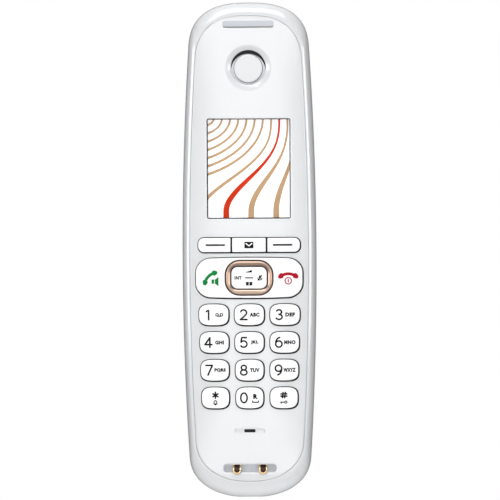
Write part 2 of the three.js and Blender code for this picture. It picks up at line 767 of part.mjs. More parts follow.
const cellY = backDepth - wall - rest - cell.radius;
const cellTotal = cell.length + cell.nub;
const cellApart = 2 * cell.radius + cell.gap;
const pocketHigh = tray.low + rest + spring.length + rest + cellTotal + rest + plate.thick + rest;
const pocketHalf = cellApart / 2 + cell.radius + rest;
const pocketFloor = cellY - cell.radius - rest;
add("battery_tray", carve(box(
  [-pocketHalf - tray.wall, pocketFloor - tray.floor, tray.low - tray.wall],
  [pocketHalf + tray.wall, cellY + cell.radius * 0.6, pocketHigh + tray.wall]), {
  cuts: [box([-pocketHalf, pocketFloor, tray.low], [pocketHalf, backDepth, pocketHigh])],
}), greyPlastic);

/** A cell standing on its flat end, with its nub on top. */
function cellSolid() {
  const points = [
    [0, 0], [cell.radius - 0.4, 0], [cell.radius, 0.4], [cell.radius, cell.length - 0.5],
    [cell.radius - 0.5, cell.length], [cell.nubRadius, cell.length], [cell.nubRadius, cellTotal], [0, cellTotal],
  ].map(([radius, y]) => new THREE.Vector2(radius, y));
  return clean(new THREE.LatheGeometry(points, 16)).rotateX(Math.PI / 2);
}

/** A conical contact spring, standing on its wide end. */
function springSolid() {
  const steps = spring.turns * 8;
  const points = [];
  for (let i = 0; i <= steps; i++) {
    const share = i / steps;
    const radius = spring.radius + (spring.tip - spring.radius) * share;
    const turn = share * spring.turns * 2 * Math.PI;
    const z = spring.wire + share * (spring.length - 2 * spring.wire);
    points.push(new THREE.Vector3(radius * Math.cos(turn), radius * Math.sin(turn), z));
  }
  const section = new THREE.Shape(softOval(0, 0, 2 * spring.wire, 2 * spring.wire, 2, 5));
  const extrudePath = new THREE.CatmullRomCurve3(points);
  return new THREE.ExtrudeGeometry(section, { steps, bevelEnabled: false, extrudePath });
}

const plateSolid = box([-plate.size / 2, -plate.size / 2, 0], [plate.size / 2, plate.size / 2, plate.thick]);
[["left", -1], ["right", 1]].forEach(([side, way]) => {
  const x = way * cellApart / 2;
  const up = way < 0;
  const turn = up ? [0, 0, 0] : [Math.PI, 0, 0];
  const start = up ? tray.low : pocketHigh;
  const towards = up ? 1 : -1;
  const cellStart = start + towards * (spring.length + 2 * rest);
  const plateStart = start + towards * (pocketHigh - tray.low - plate.thick - rest);
  add(`cell_${side}`, cellSolid(), cellWrap, [x, cellY, cellStart], turn);
  add(`spring_${side}`, springSolid(), steel, [x, cellY, start + towards * rest], turn);
  add(`plate_${side}`, plateSolid, steel, [x, cellY, plateStart], turn);
});

export default handset;
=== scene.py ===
"""Cordless telephone handset: fine surfaces, prints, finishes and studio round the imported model."""
import json
import math

import bpy
import numpy as np
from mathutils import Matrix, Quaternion, Vector
from mathutils.geometry import delaunay_2d_cdt


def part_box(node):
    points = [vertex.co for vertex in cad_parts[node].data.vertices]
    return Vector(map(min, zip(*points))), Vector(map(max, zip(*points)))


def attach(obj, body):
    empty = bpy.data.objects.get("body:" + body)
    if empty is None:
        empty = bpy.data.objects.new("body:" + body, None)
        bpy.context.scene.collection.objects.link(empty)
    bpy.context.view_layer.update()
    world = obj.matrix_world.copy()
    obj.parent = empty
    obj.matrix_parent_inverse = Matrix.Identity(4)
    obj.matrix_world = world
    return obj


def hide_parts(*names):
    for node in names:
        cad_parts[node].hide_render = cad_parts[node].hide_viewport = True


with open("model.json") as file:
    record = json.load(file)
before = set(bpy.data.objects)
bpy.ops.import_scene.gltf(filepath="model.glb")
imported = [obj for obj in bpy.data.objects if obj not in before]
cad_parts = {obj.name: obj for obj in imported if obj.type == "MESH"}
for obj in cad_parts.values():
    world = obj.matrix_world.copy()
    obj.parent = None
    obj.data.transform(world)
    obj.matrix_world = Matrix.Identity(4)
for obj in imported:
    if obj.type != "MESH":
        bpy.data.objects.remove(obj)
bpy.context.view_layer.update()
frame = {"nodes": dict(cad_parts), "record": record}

MM = 0.001

# The handset's outline and depths, in millimetres.
LENGTH = 187.0
WIDTH = 50.7
WIDEST_Z = 91.0
SIDE_RADIUS = 1250.0
SEAT_CUT = 0.25
LOW_DEPTH, LOW_POWER = 15.5, 2.3
HIGH_DEPTH, HIGH_POWER = 17.0, 2.6
FRONT = 11.0
CROWN, CROWN_ACROSS, CROWN_ALONG = 1.6, 2.6, 6.0
BACK = 11.9
RIM_SIDE, RIM_LOW, RIM_HIGH, RIM_DEPTH = 2.95, 6.2, 4.8, 7.0
BACK_SIDE, BACK_LOW, BACK_HIGH, BACK_POWER = 12.0, 11.0, 13.0, 2.4
WALL = 1.6
FACE_WALL = 1.5
SEAM = 0.04
KEY_GAP = 0.4
KEY_SHADE = 0.12
KEY_BASE = -7.3
CAP_PROUD = 0.65
CAP_EDGE = 0.28
INK_THICK = 0.03
FRONT_FILL, BACK_FILL = 0.22, 0.13
COAT_ROUGHNESS = 0.06

# Prints on the keys: stroke widths, sizes and how far a key's digit and letters stand from its middle.
DIGIT_STROKE, SIGN_STROKE, SMALL_STROKE, FINE_STROKE = 0.61, 0.6, 0.42, 0.35
BOLD = 0.065
DIGIT_SIZE, DIGIT_SIDE = 3.65, 2.15
LETTER_SIZE, LETTER_SIDE = 1.5, 2.0

# Material numbers on a key: its face, its sides (a near-black that paints the shade in the gap round the
# key) and its prints.
CAP_FACE, CAP_SHADED_SIDE, PRINT, PRINT_GREEN, PRINT_RED = range(5)

# Battery cover: how far its outline reaches past the plain one, the gap round it, its edge and corner radii.
COVER_MORE, COVER_GAP, COVER_EDGE, COVER_CORNER = 0.15, 0.12, 0.25, 6.0

# Speaker slots in the back: how many, how far apart, their middle and size.
SPEAKER_SLOTS, SPEAKER_PITCH, SPEAKER_Z, SPEAKER_SLOT = 5, 2.6, 141.0, (13.0, 1.1)


# Surfaces.

def side_at(z):
    return WIDTH / 2 - (z - WIDEST_Z) ** 2 / (2 * SIDE_RADIUS)


def body_outline(side, low, high, end_steps=22, side_steps=44):
    """The outline moved in by side, low and high, as an N by 2 array of x and z."""
    low, high = low - SEAT_CUT, LENGTH - high
    right = []
    for i in range(1, end_steps + 1):
        turn = (1 - i / end_steps) * math.pi / 2
        z = low + LOW_DEPTH * (1 - math.sin(turn) ** (2 / LOW_POWER))
        right.append(((side_at(z) - side) * math.cos(turn) ** (2 / LOW_POWER), z))
    straight = high - HIGH_DEPTH - low - LOW_DEPTH
    for i in range(1, side_steps):
        z = low + LOW_DEPTH + straight * i / side_steps
        right.append((side_at(z) - side, z))
    for i in range(end_steps):
        turn = i / end_steps * math.pi / 2
        z = high - HIGH_DEPTH * (1 - math.sin(turn) ** (2 / HIGH_POWER))
        right.append(((side_at(z) - side) * math.cos(turn) ** (2 / HIGH_POWER), z))
    left = [(-x, z) for x, z in reversed(right)]
    return np.array([(0, low), *right, (0, high), *left])


def face_outline(more):
    return body_outline(RIM_SIDE + more, RIM_LOW + more, RIM_HIGH + more)


def face_y(x, z):
    """Front of the face: a crown that falls to one level all round the face's edge."""
    low, high = RIM_LOW, LENGTH - RIM_HIGH
    across = np.minimum(1, np.abs(x) / (side_at(z) - RIM_SIDE))
    along = np.minimum(1, np.abs(2 * z - low - high) / (high - low))
    return -FRONT + CROWN * (1 - (1 - across**CROWN_ACROSS) * (1 - along**CROWN_ALONG))


def proud(height):
    return lambda x, z: face_y(x, z) - height


def back_share(x, z):
    """How far in from the widest line, from 0 to 1, the back's outline through x, z lies."""
    low_share, high_share = np.zeros_like(x), np.ones_like(x)
    for _ in range(30):
        share = (low_share + high_share) / 2
        low, high = BACK_LOW * share - SEAT_CUT, LENGTH - BACK_HIGH * share
        up = np.clip(1 - (z - low) / LOW_DEPTH, 0, 1)
        down = np.clip(1 - (high - z) / HIGH_DEPTH, 0, 1)
        ends = (1 - up**LOW_POWER) ** (1 / LOW_POWER) * (1 - down**HIGH_POWER) ** (1 / HIGH_POWER)
        inside = np.abs(x) < (side_at(z) - BACK_SIDE * share) * ends
        low_share = np.where(inside, share, low_share)
        high_share = np.where(inside, high_share, share)
    return low_share


def back_level(share):
    widest = -FRONT + CROWN + RIM_DEPTH
    return widest + (BACK - widest) * (1 - (1 - share) ** BACK_POWER) ** (1 / BACK_POWER)


def back_y(x, z):
    return back_level(back_share(x, z))


def back_inside(x, z):
    return back_y(x, z) - WALL


# Outlines in x and z. Each is moved in by "by".

def rounded(x, z, wide, high, left, right=None, corner_steps=10, edge_steps=10):
    """Rounded rectangle, with round ends of their own radius left and right."""
    right = left if right is None else right
    points = []

    def corner(side, up, radius, start):
        for i in range(corner_steps + 1):
            turn = start + i / corner_steps * math.pi / 2
            px = x + side * (wide / 2 - radius) + radius * math.cos(turn)
            points.append((px, z + up * (high / 2 - radius) + radius * math.sin(turn)))

    def edge(start, end):
        for i in range(1, edge_steps):
            share = i / edge_steps
            points.append((start[0] + (end[0] - start[0]) * share, start[1] + (end[1] - start[1]) * share))

    corner(1, -1, right, -math.pi / 2)
    edge(points[-1], (x + wide / 2, z + high / 2 - right))
    corner(1, 1, right, 0)
    edge(points[-1], (x - wide / 2 + left, z + high / 2))
    corner(-1, 1, left, math.pi / 2)
    edge(points[-1], (x - wide / 2, z - high / 2 + left))
    corner(-1, -1, left, math.pi)
    edge(points[-1], (x + wide / 2 - right, z - high / 2))
    return np.array(points)


def soft_oval(x, z, wide, high, power, steps=72):
    turn = np.arange(steps) / steps * 2 * math.pi
    c, s = np.cos(turn), np.sin(turn)
    px = np.sign(c) * np.abs(c) ** (2 / power) * wide / 2
    pz = np.sign(s) * np.abs(s) ** (2 / power) * high / 2
    return np.stack([x + px, z + pz], axis=1)


def at(outline, level):
    """The outline laid at the level, which is a number or a function of x and z."""
    y = level(outline[:, 0], outline[:, 1]) if callable(level) else np.full(len(outline), float(level))
    return np.stack([outline[:, 0], y, outline[:, 1]], axis=1)


def inside(points, outline):
    """Which points lie inside a closed outline."""
    result = np.zeros(len(points), bool)
    x, z = points[:, 0], points[:, 1]
    for (x0, z0), (x1, z1) in zip(outline, np.roll(outline, -1, axis=0)):
        if z0 != z1:
            crosses = (z0 > z) != (z1 > z)
            result ^= crosses & (x < (x1 - x0) * (z - z0) / (z1 - z0) + x0)
    return result


# Meshes. A shell is a list of (points, faces, material number).

def skin(edges, front, back, spacing, extra=(), dark=0):
    """Closed wall between two surfaces over the same outline.

    edges holds (rings, guard) for the outer edge and then for each hole: rings run from the
    front surface round the edge to the back surface, and guard is a finer outline beside them.
    Returns points, faces and a number for each face: 1 on the innermost walls of the first dark holes, where
    a near-black finish paints the shade deep in those gaps.
    """
    loops = [rings[0][:, [0, 2]] for rings, _ in edges]
    guards = [guard for _, guard in edges if guard is not None]
    outer, holes = loops[0], loops[1:]
    low, high = outer.min(0), outer.max(0)
    rows = np.arange(low[1], high[1], spacing * 0.87)
    grid = []
    for i, z in enumerate(rows):
        xs = np.arange(low[0] + (i % 2) * spacing / 2, high[0], spacing)
        grid.append(np.stack([xs, np.full(len(xs), z)], axis=1))
    grid = np.concatenate([*grid, *extra])
    keep = inside(grid, outer)
    for hole in holes:
        keep &= ~inside(grid, hole)
    grid = grid[keep]
    fixed = np.concatenate([*loops, *guards])
    for start in range(0, len(grid), 2000):
        part = grid[start:start + 2000]
        far = np.min(np.linalg.norm(part[:, None] - fixed[None], axis=2), axis=1) > spacing * 0.55
        grid[start:start + 2000][~far] = np.nan
    grid = grid[~np.isnan(grid[:, 0])]
    flat = np.concatenate([fixed, grid])
    links, first = [], 0
    for loop in loops:
        count = len(loop)
        links += [(first + i, first + (i + 1) % count) for i in range(count)]
        first += count
    found = delaunay_2d_cdt([Vector(p) for p in flat], links, [], 0, 1e-7)
    points = np.array([tuple(p) for p in found[0]])
    faces = np.array(found[2])
    middle = points[faces].mean(axis=1)
    good = inside(middle, outer)
    for hole in holes:
        good &= ~inside(middle, hole)
    faces = faces[good]
    count = len(points)
    ring_points = sum(len(loop) for loop in loops)
    front_points = at(points, front)
    back_points = at(points, back)
    first = 0
    for rings, _ in edges:
        size = len(rings[0])
        front_points[first:first + size] = rings[0]
        back_points[first:first + size] = rings[-1]
        first += size
    assert len(points) == len(flat) and first == ring_points
    all_points = [front_points, back_points]
    all_faces = [tuple(f) for f in faces] + [tuple(f[::-1] + count) for f in faces]
    deep = [0] * len(all_faces)
    total, first = 2 * count, 0
    for number, (rings, _) in enumerate(edges):
        size = len(rings[0])
        starts = [first]
        for ring in rings[1:-1]:
            all_points.append(ring)
            starts.append(total)
            total += size
        starts.append(count + first)
        for step, (a, b) in enumerate(zip(starts, starts[1:])):
            # The last band of wall in each of the first dark holes gets number 1: the painted shade.
            last = 0 < number <= dark and step == len(starts) - 2
            for i in range(size):
                j = (i + 1) % size
                all_faces.append((a + i, b + i, b + j, a + j))
                deep.append(int(last))
        first += size
    return np.concatenate(all_points), all_faces, deep


def loft(rings, loop=False):
    """Closed skin through equal rings; its ends are fans unless it joins up."""
    size = len(rings[0])
    points = np.concatenate(rings)
    faces = []
    pairs = list(zip(range(len(rings)), [*range(1, len(rings)), 0]))
    for a, b in pairs if loop else pairs[:-1]:
        for i in range(size):
            j = (i + 1) % size
            faces.append((a * size + i, b * size + i, b * size + j, a * size + j))
    if not loop:
        last = (len(rings) - 1) * size
        for start in (0, last):
            points = np.vstack([points, points[start:start + size].mean(axis=0)])
            pole = len(points) - 1
            for i in range(size):
                faces.append((start + i, start + (i + 1) % size, pole))
    return points, faces


def round_over(outline, level, radius, grow=1, steps=5):
    """Rings of a rounded edge: from radius inside the outline at the level to the outline below it."""
    rings = []
    for i in range(steps + 1):
        turn = i / steps * math.pi / 2
        ring = outline(grow * radius * (1 - math.sin(turn)))
        drop = radius * (1 - math.cos(turn))
        rings.append(at(ring, lambda x, z, drop=drop: level(x, z) + drop))
    return rings


def capped(outline, level, edge, spacing, base=KEY_BASE, holes=(), side=CAP_SHADED_SIDE):
    """A cap: crowned top, rounded edge, straight sides with the finish numbered side, which on keys is a
    near-black painted shade for the gap, and a flat base.
    """
    edges = [([*round_over(outline, level, edge), at(outline(0), base)], outline(edge + spacing * 0.5))]
    for hole, hole_edge in holes:
        rings = [*round_over(hole, level, hole_edge, grow=-1), at(hole(0), base)]
        edges.append((rings, hole(-hole_edge - spacing * 0.5)))
    points, faces, _ = skin(edges, level, lambda x, z: np.full_like(x, base), spacing)
    middle = np.array([points[list(face)].mean(axis=0) for face in faces])
    # Faces below the rounded edge take the side finish: on keys the near-black that paints the shade in the
    # gap.
    walls = middle[:, 1] > level(middle[:, 0], middle[:, 2]) + edge + 0.1
    return points, faces, [side * int(wall) for wall in walls]


def outward(mesh):
    """Makes every face of a closed mesh point out."""
    import bmesh

    work = bmesh.new()
    work.from_mesh(mesh)
    bmesh.ops.recalc_face_normals(work, faces=work.faces)
    work.to_mesh(mesh)
    work.free()


def closed_object(name, mesh, sharp=40):
    """Object for a closed mesh: faces outward, smooth but for edges sharper than this many degrees."""
    outward(mesh)
    mesh.polygons.foreach_set("use_smooth", [True] * len(mesh.polygons))
    mesh.set_sharp_from_angle(angle=math.radians(sharp))
    made = bpy.data.objects.new(name, mesh)
    bpy.context.scene.collection.objects.link(made)
    return made


def piece(name, shells, materials, body, node=None, sharp=40):
    """One object from shells of (points, faces, material number), riding on a body."""
    points, faces, numbers, first = [], [], [], 0
    for shell_points, shell_faces, number in shells:
        points.append(np.asarray(shell_points))
        faces += [tuple(int(i) + first for i in face) for face in shell_faces]
        numbers += [number] * len(shell_faces) if isinstance(number, int) else number
        first += len(shell_points)
    mesh = bpy.data.meshes.new(name)
    mesh.from_pydata((np.concatenate(points) * MM).tolist(), [], faces)
    mesh.polygons.foreach_set("material_index", numbers)
    for material in materials:
        mesh.materials.append(material)
    made = closed_object(name, mesh, sharp)
    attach(made, body)
    if node:
        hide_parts(node)
    return made


# Prints: thin closed ribbons and letters that lie on a surface.

def ribbon(path, width, level, thick=INK_THICK, round_ends=True):
    """Ribbon along a path of x and z, joined up where the path closes."""
    path = np.asarray(path, float)
    closed = np.linalg.norm(path[0] - path[-1]) < 1e-6
    if closed:
        path = path[:-1]
        ahead = np.roll(path, -1, axis=0) - np.roll(path, 1, axis=0)
    else:
        ahead = np.gradient(path, axis=0)
    wide = np.broadcast_to(np.asarray(width, float), len(path))
    ahead /= np.linalg.norm(ahead, axis=1)[:, None]
    across = np.stack([-ahead[:, 1], ahead[:, 0]], axis=1)
    if round_ends and not closed:
        swell = [math.sin(i / 5 * math.pi / 2) for i in range(1, 5)]
        reach = [math.cos(i / 5 * math.pi / 2) for i in range(1, 5)]
        first, last = wide[0] / 2, wide[-1] / 2
        head = [path[0] - ahead[0] * first * r for r in reach]
        tail = [path[-1] + ahead[-1] * last * r for r in reversed(reach)]
        across = np.concatenate([[across[0]] * 4, across, [across[-1]] * 4])
        wide = np.concatenate([[wide[0] * g for g in swell], wide, [wide[-1] * g for g in reversed(swell)]])
        path = np.concatenate([head, path, tail])
    left, right = path + across * wide[:, None] / 2, path - across * wide[:, None] / 2
    rings = []
    for a, b in zip(left, right):
        flat = np.array([a, b, b, a])
        rise = np.array([-thick, -thick, thick, thick])
        rings.append(np.stack([flat[:, 0], level(flat[:, 0], flat[:, 1]) + rise, flat[:, 1]], axis=1))
    return loft(rings, loop=closed)


def slab_print(outline, level, thick=INK_THICK):
    """Thin closed plate with this outline, lying on the surface."""
    size = len(outline)
    links = [(i, (i + 1) % size) for i in range(size)]
    found = delaunay_2d_cdt([Vector(p) for p in outline], links, [], 1, 1e-9)
    flat = np.array([tuple(p) for p in found[0]])
    triangles = [tuple(f) for f in found[2]]
    count = len(flat)
    top = at(flat, lambda x, z: level(x, z) - thick)
    under = at(flat, lambda x, z: level(x, z) + thick)
    used = {}
    for a, b, c in triangles:
        for pair in ((a, b), (b, c), (c, a)):
            used[tuple(sorted(pair))] = used.get(tuple(sorted(pair)), 0) + 1
    faces = triangles + [tuple(count + i for i in f[::-1]) for f in triangles]
    faces += [(a, b, count + b, count + a) for (a, b), times in used.items() if times == 1]
    return np.concatenate([top, under]), faces


def letters(text, x, z, size, level, wide, bold=BOLD):
    """Letters of the plain built-in face, centred at x, z, size millimetres high and wide across."""
    curve = bpy.data.curves.new("letters", "FONT")
    curve.body, curve.size, curve.align_x, curve.align_y = text, 1.0, "CENTER", "CENTER"
    curve.extrude, curve.offset, curve.resolution_u = 0.01, bold, 3
    curve.space_character = 1.12
    carrier = bpy.data.objects.new("letters", curve)
    bpy.context.scene.collection.objects.link(carrier)
    bpy.context.view_layer.update()
    mesh = bpy.data.meshes.new_from_object(carrier.evaluated_get(bpy.context.evaluated_depsgraph_get()))
    co = np.array([tuple(v.co) for v in mesh.vertices])
    faces = [tuple(p.vertices) for p in mesh.polygons]
    bpy.data.objects.remove(carrier)
    bpy.data.curves.remove(curve)
    bpy.data.meshes.remove(mesh)
    scale = size / np.ptp(co[:, 1])
    stretch = wide / np.ptp(co[:, 0])
    px = x + (co[:, 0] - (co[:, 0].max() + co[:, 0].min()) / 2) * stretch
    pz = z + (co[:, 1] - (co[:, 1].max() + co[:, 1].min()) / 2) * scale
    py = level(px, pz) - np.sign(co[:, 2]) * INK_THICK
    return np.stack([px, py, pz], axis=1), faces


def arc(x, z, rx, rz, start, end, steps=16):
    turn = np.radians(np.linspace(start, end, steps))
    return [(x + rx * math.cos(t), z + rz * math.sin(t)) for t in turn]


# Strokes of the digits, in a box one high, about half wide.
DIGITS = {
    "0": [arc(0, 0, 0.33, 0.5, 90, 450, 40)],
    "1": [[(-0.17, 0.33), (-0.05, 0.42), (0.06, 0.5), (0.06, 0.2), (0.06, -0.5)]],
    "2": [[*arc(0, 0.2, 0.31, 0.3, 160, -32), (0.05, -0.18), (-0.33, -0.5)],
          [(-0.33, -0.5), (0, -0.5), (0.35, -0.5)]],
    "3": [arc(-0.02, 0.26, 0.27, 0.24, 150, -90), arc(-0.02, -0.24, 0.33, 0.26, 90, -150)],
    "4": [[(0.13, -0.5), (0.13, 0), (0.13, 0.5)], [(0.13, 0.5), (-0.12, 0.14), (-0.38, -0.22)],
          [(-0.38, -0.22), (0, -0.22), (0.34, -0.22)]],
    "5": [[(0.28, 0.5), (0, 0.5), (-0.2, 0.5)], [(-0.2, 0.5), (-0.24, 0.25), (-0.27, 0.03)],
          arc(0, -0.17, 0.34, 0.33, 143, -145)],
    "6": [arc(0.0, -0.18, 0.33, 0.32, 0, 360, 40), arc(0.14, -0.12, 0.46, 0.62, 172, 98)],
    "7": [[(-0.34, 0.5), (0, 0.5), (0.33, 0.5)], [(0.33, 0.5), (0.1, 0), (-0.12, -0.5)]],
    "8": [arc(0, 0.26, 0.26, 0.24, 90, 450, 32), arc(0, -0.24, 0.33, 0.26, 90, 450, 36)],
    "9": [arc(0.0, 0.18, 0.33, 0.32, 0, 360, 40), arc(-0.14, 0.12, 0.46, 0.62, -8, -82)],
}


def strokes(paths, x, z, size, width, level):
    """Ribbons for stroke paths scaled to size and centred at x, z."""
    return [ribbon([(x + px * size, z + pz * size) for px, pz in path], width, level) for path in paths]


# Finishes.

def add(tree, kind, values=()):
    """New node of this kind in the tree, with the values of its inputs by their names."""
    node = tree.nodes.new(kind)
    for label, value in dict(values).items():
        node.inputs[label].default_value = value
    return node


def finish(name, colour, roughness, metallic=0.0, coat=0.0, grain=0.0, grain_scale=900.0, spread=0.04,
           tint=0.02, specular=0.5, glow=0.0):
    """Principled finish with fine grain in its bump, roughness and colour, on Object coordinates."""
    material = bpy.data.materials.new(name)
    material.use_nodes = True
    tree = material.node_tree
    shader = tree.nodes["Principled BSDF"]
    place = add(tree, "ShaderNodeTexCoord")
    cloud = add(tree, "ShaderNodeTexNoise", {"Scale": 60.0, "Detail": 3.0})
    tree.links.new(place.outputs["Object"], cloud.inputs["Vector"])
    limits = {"To Min": max(0.02, roughness - spread), "To Max": roughness + spread}
    rough = add(tree, "ShaderNodeMapRange", limits)
    tree.links.new(cloud.outputs["Fac"], rough.inputs["Value"])
    tree.links.new(rough.outputs["Result"], shader.inputs["Roughness"])
    ramp = add(tree, "ShaderNodeValToRGB")
    ramp.color_ramp.elements[0].position, ramp.color_ramp.elements[1].position = 0.35, 0.65
    for element, factor in zip(ramp.color_ramp.elements, (1 - tint, 1.0)):
        element.color = (*(min(1, c * factor) for c in colour), 1)
    tree.links.new(cloud.outputs["Fac"], ramp.inputs["Fac"])
    tree.links.new(ramp.outputs["Color"], shader.inputs["Base Color"])
    shader.inputs["Metallic"].default_value = metallic
    shader.inputs["Coat Weight"].default_value = coat
    shader.inputs["Coat Roughness"].default_value = COAT_ROUGHNESS
    shader.inputs["Specular IOR Level"].default_value = specular
    if glow:
        tree.links.new(ramp.outputs["Color"], shader.inputs["Emission Color"])
        shader.inputs["Emission Strength"].default_value = glow
    if grain:
        fine = add(tree, "ShaderNodeTexNoise", {"Scale": grain_scale, "Detail": 2.0})
        tree.links.new(place.outputs["Object"], fine.inputs["Vector"])
        bump = add(tree, "ShaderNodeBump", {"Strength": 0.5, "Distance": grain * MM})
        tree.links.new(fine.outputs["Fac"], bump.inputs["Height"])
        tree.links.new(bump.outputs["Normal"], shader.inputs["Normal"])
    return material


CASING = finish("casing_white", (0.7, 0.71, 0.724), 0.22, coat=1.0, grain=0.003, grain_scale=700)
KEYCAP = finish("key_white", (0.93, 0.93, 0.93), 0.3, coat=0.3, grain=0.003, grain_scale=1500)
# Near-black for the keys' sides below the rounded edge: painted shade in the gaps round the keys.
KEY_SIDE_SHADE = finish("key_side", (0.02, 0.02, 0.022), 0.6)
# Near-black for the deep walls of the key openings, the microphone slot and the earpiece's well: painted
# shade.
GAP_PAINTED_SHADE = finish("gap_painted_shade", (0.015, 0.015, 0.017), 0.6)
# Near-black print ink; the same finish also paints the shadow ring round the display picture.
INK_AND_SHADE = finish("ink_grey_and_painted_shade", (0.006, 0.006, 0.007), 0.6, specular=0.2)
INK_GREEN = finish("ink_green", (0.0, 0.22, 0.045), 0.6, specular=0.2)
INK_RED = finish("ink_red", (0.42, 0.002, 0.016), 0.6, specular=0.2)
ROSE_GOLD = finish("rose_gold", (0.6, 0.42, 0.33), 0.3, metallic=0.75, spread=0.05)
GOLD = finish("contact_gold", (0.8, 0.56, 0.3), 0.28, metallic=1.0)
GREY = finish("grey_plastic", (0.42, 0.44, 0.47), 0.45, grain=0.01)
NOTCH = finish("notch_grey", (0.54, 0.56, 0.6), 0.35, grain=0.006)
# Rubber of the keypad mat and the microphone's cloth, made near-black so the gaps round the keys look
# shaded: partly the rubber's own colour, partly painted shade.
RUBBER_DARKENED_FOR_SHADE = finish("rubber_darkened_for_shade", (0.03, 0.03, 0.032), 0.7, grain=0.02)
STEEL = finish("satin_steel", (0.6, 0.61, 0.62), 0.3, metallic=1.0)
BOARD = finish("board_green", (0.015, 0.12, 0.05), 0.4, coat=0.4)
PAPER = finish("picture_white", (0.95, 0.945, 0.93), 0.35, glow=0.45)
TAN = finish("picture_tan", (0.56, 0.36, 0.2), 0.5, glow=0.25, specular=0.1)
# Near-black brown behind the contacts' slits: painted shade and painted dark reflection in the middle of
# each contact.
CONTACT_SLIT_SHADE = finish("contact_slit_painted_shade", (0.035, 0.011, 0.004), 0.4, specular=0.25)
CARRIER = finish("carrier_grey", (0.64, 0.66, 0.7), 0.35, coat=0.3)
EMBER = finish("picture_ember", (0.72, 0.042, 0.008), 0.5, glow=0.12, specular=0.1)
EAR = finish("ear_disc_white", (0.73, 0.74, 0.75), 0.35, grain=0.004)


def bare_material(name):
    """Material with no shader in it yet, its node tree and its surface."""
    material = bpy.data.materials.new(name)
    material.use_nodes = True
    tree = material.node_tree
    tree.nodes.remove(tree.nodes["Principled BSDF"])
    return material, tree, tree.nodes["Material Output"].inputs["Surface"]


def glass():
    """Clear lens: what is behind shows through, with a mirror that grows at the edge of view."""
    material, tree, surface = bare_material("window_clear")
    clear = add(tree, "ShaderNodeBsdfTransparent", {"Color": (0.97, 0.975, 0.98, 1)})
    shine = add(tree, "ShaderNodeBsdfGlossy", {"Roughness": 0.03})
    share = add(tree, "ShaderNodeLayerWeight", {"Blend": 0.12})
    mix = add(tree, "ShaderNodeMixShader")
    tree.links.new(share.outputs["Facing"], mix.inputs["Fac"])
    tree.links.new(clear.outputs["BSDF"], mix.inputs[1])
    tree.links.new(shine.outputs["BSDF"], mix.inputs[2])
    tree.links.new(mix.outputs["Shader"], surface)
    return material


WINDOW = glass()


# Places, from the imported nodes.

def place(node):
    """Centre and size of a node's box in millimetres."""
    low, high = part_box(node)
    low, high = np.array(low) / MM, np.array(high) / MM
    return (low + high) / 2, high - low


FLANGE = 0.6
DIGIT_POWER = 3.2
ring_middle, ring_size = place("nav_ring")
ROCKER_Z = ring_middle[2]
rocker_size = place("talk_end_key")[1]
nav_cap_size = place("nav_cap")[1]
window_middle, window_size = place("display_window")
ear_middle = place("earpiece_cap")[0]
slot_middle, slot_size = place("slot_insert")
mic_middle = place("microphone")[0]


def digit_outline(node):
    middle, size = place(node)
    wide, high = size[0] - 2 * FLANGE, size[2] - 2 * FLANGE
    return lambda by: soft_oval(middle[0], middle[2], wide - 2 * by, high - 2 * by, DIGIT_POWER)


def bulged(outline, z, side, end):
    """Bows the long edges out by side and the short ones by end, inside the same size."""
    across = np.abs(outline[:, 0]).max()
    up = np.abs(outline[:, 1] - z).max()
    x, rise = outline[:, 0] / across, (outline[:, 1] - z) / up
    new_x = x * (across - end * rise**2)
    new_z = z + rise * (up - side * x**2)
    return np.stack([new_x, new_z], axis=1)


def rocker_outline(by):
    wide, high = rocker_size[0] - 2 * FLANGE, rocker_size[2] - 2 * FLANGE
    plain = rounded(0, ROCKER_Z, wide - 2 * by, high - 2 * by, max(5 - by, 0.6), edge_steps=16)
    return bulged(plain, ROCKER_Z, 0.5, 0.5)


def ring_outline(by):
    return rounded(0, ROCKER_Z, ring_size[0] - 2 * by, ring_size[2] - 2 * by, 5.2 - by)


def nav_cap_outline(by):
    return rounded(0, ROCKER_Z, nav_cap_size[0] - 2 * by, nav_cap_size[2] - 2 * by, max(2.3 - by, 0.5))


NAV_BASE = KEY_BASE - 1.3


def ring_shape(share):
    """Outlines that pass from the ring's outer edge, at 0, to its inner edge, at 1."""
    return ring_outline(0) * (1 - share) + nav_cap_outline(-0.5) * share


SOFT_Z = place("message_key")[0][2]
SOFT_HEIGHT = place("message_key")[1][2]
SOFT_LOW = place("soft_key_left")[0][0] - place("soft_key_left")[1][0] / 2
SOFT_RADIUS = 2.1
SOFT_TRIM = 0.14


def soft_row_outline(by):
    return rounded(0, SOFT_Z, -2 * SOFT_LOW - 2 * by, SOFT_HEIGHT - 2 * by, SOFT_RADIUS - by, edge_steps=16)


def window_outline(by):
    radius = max(0.7 - by, 0.25)
    return rounded(0, window_middle[2], window_size[0] - 2 * by, window_size[2] - 2 * by, radius,
                   corner_steps=6, edge_steps=24)


DISH_RADIUS = 9.0
DISH_DEPTH = 0.9
EAR_HOLE = 6.55
GROOVE_HALF, GROOVE_DEPTH = 5.5, 0.3


def ease(t):
    t = np.clip(t, 0, 1)
    return t * t * (3 - 2 * t)


def dished_face(x, z):
    """The face with the shallow bowl round the earpiece."""
    away = np.hypot(x, z - ear_middle[2])
    bowl = DISH_DEPTH * ease((DISH_RADIUS - away) / (DISH_RADIUS - EAR_HOLE + 0.6))
    across = np.abs(x) < GROOVE_HALF
    groove = GROOVE_DEPTH * across * ease((0.75 - np.abs(z - mic_middle[2])) / 0.3)
    return face_y(x, z) + bowl + groove


def ear_circle(by):
    return soft_oval(0, ear_middle[2], 2 * (EAR_HOLE - by), 2 * (EAR_HOLE - by), 2, 96)


TOP_SLOT = (19.3, 2.5)
MIC_SLOT = (4.2, 1.2)
CONTACT_SLOT = (19.8, 2.9)
CONTACT_Z = 10.95


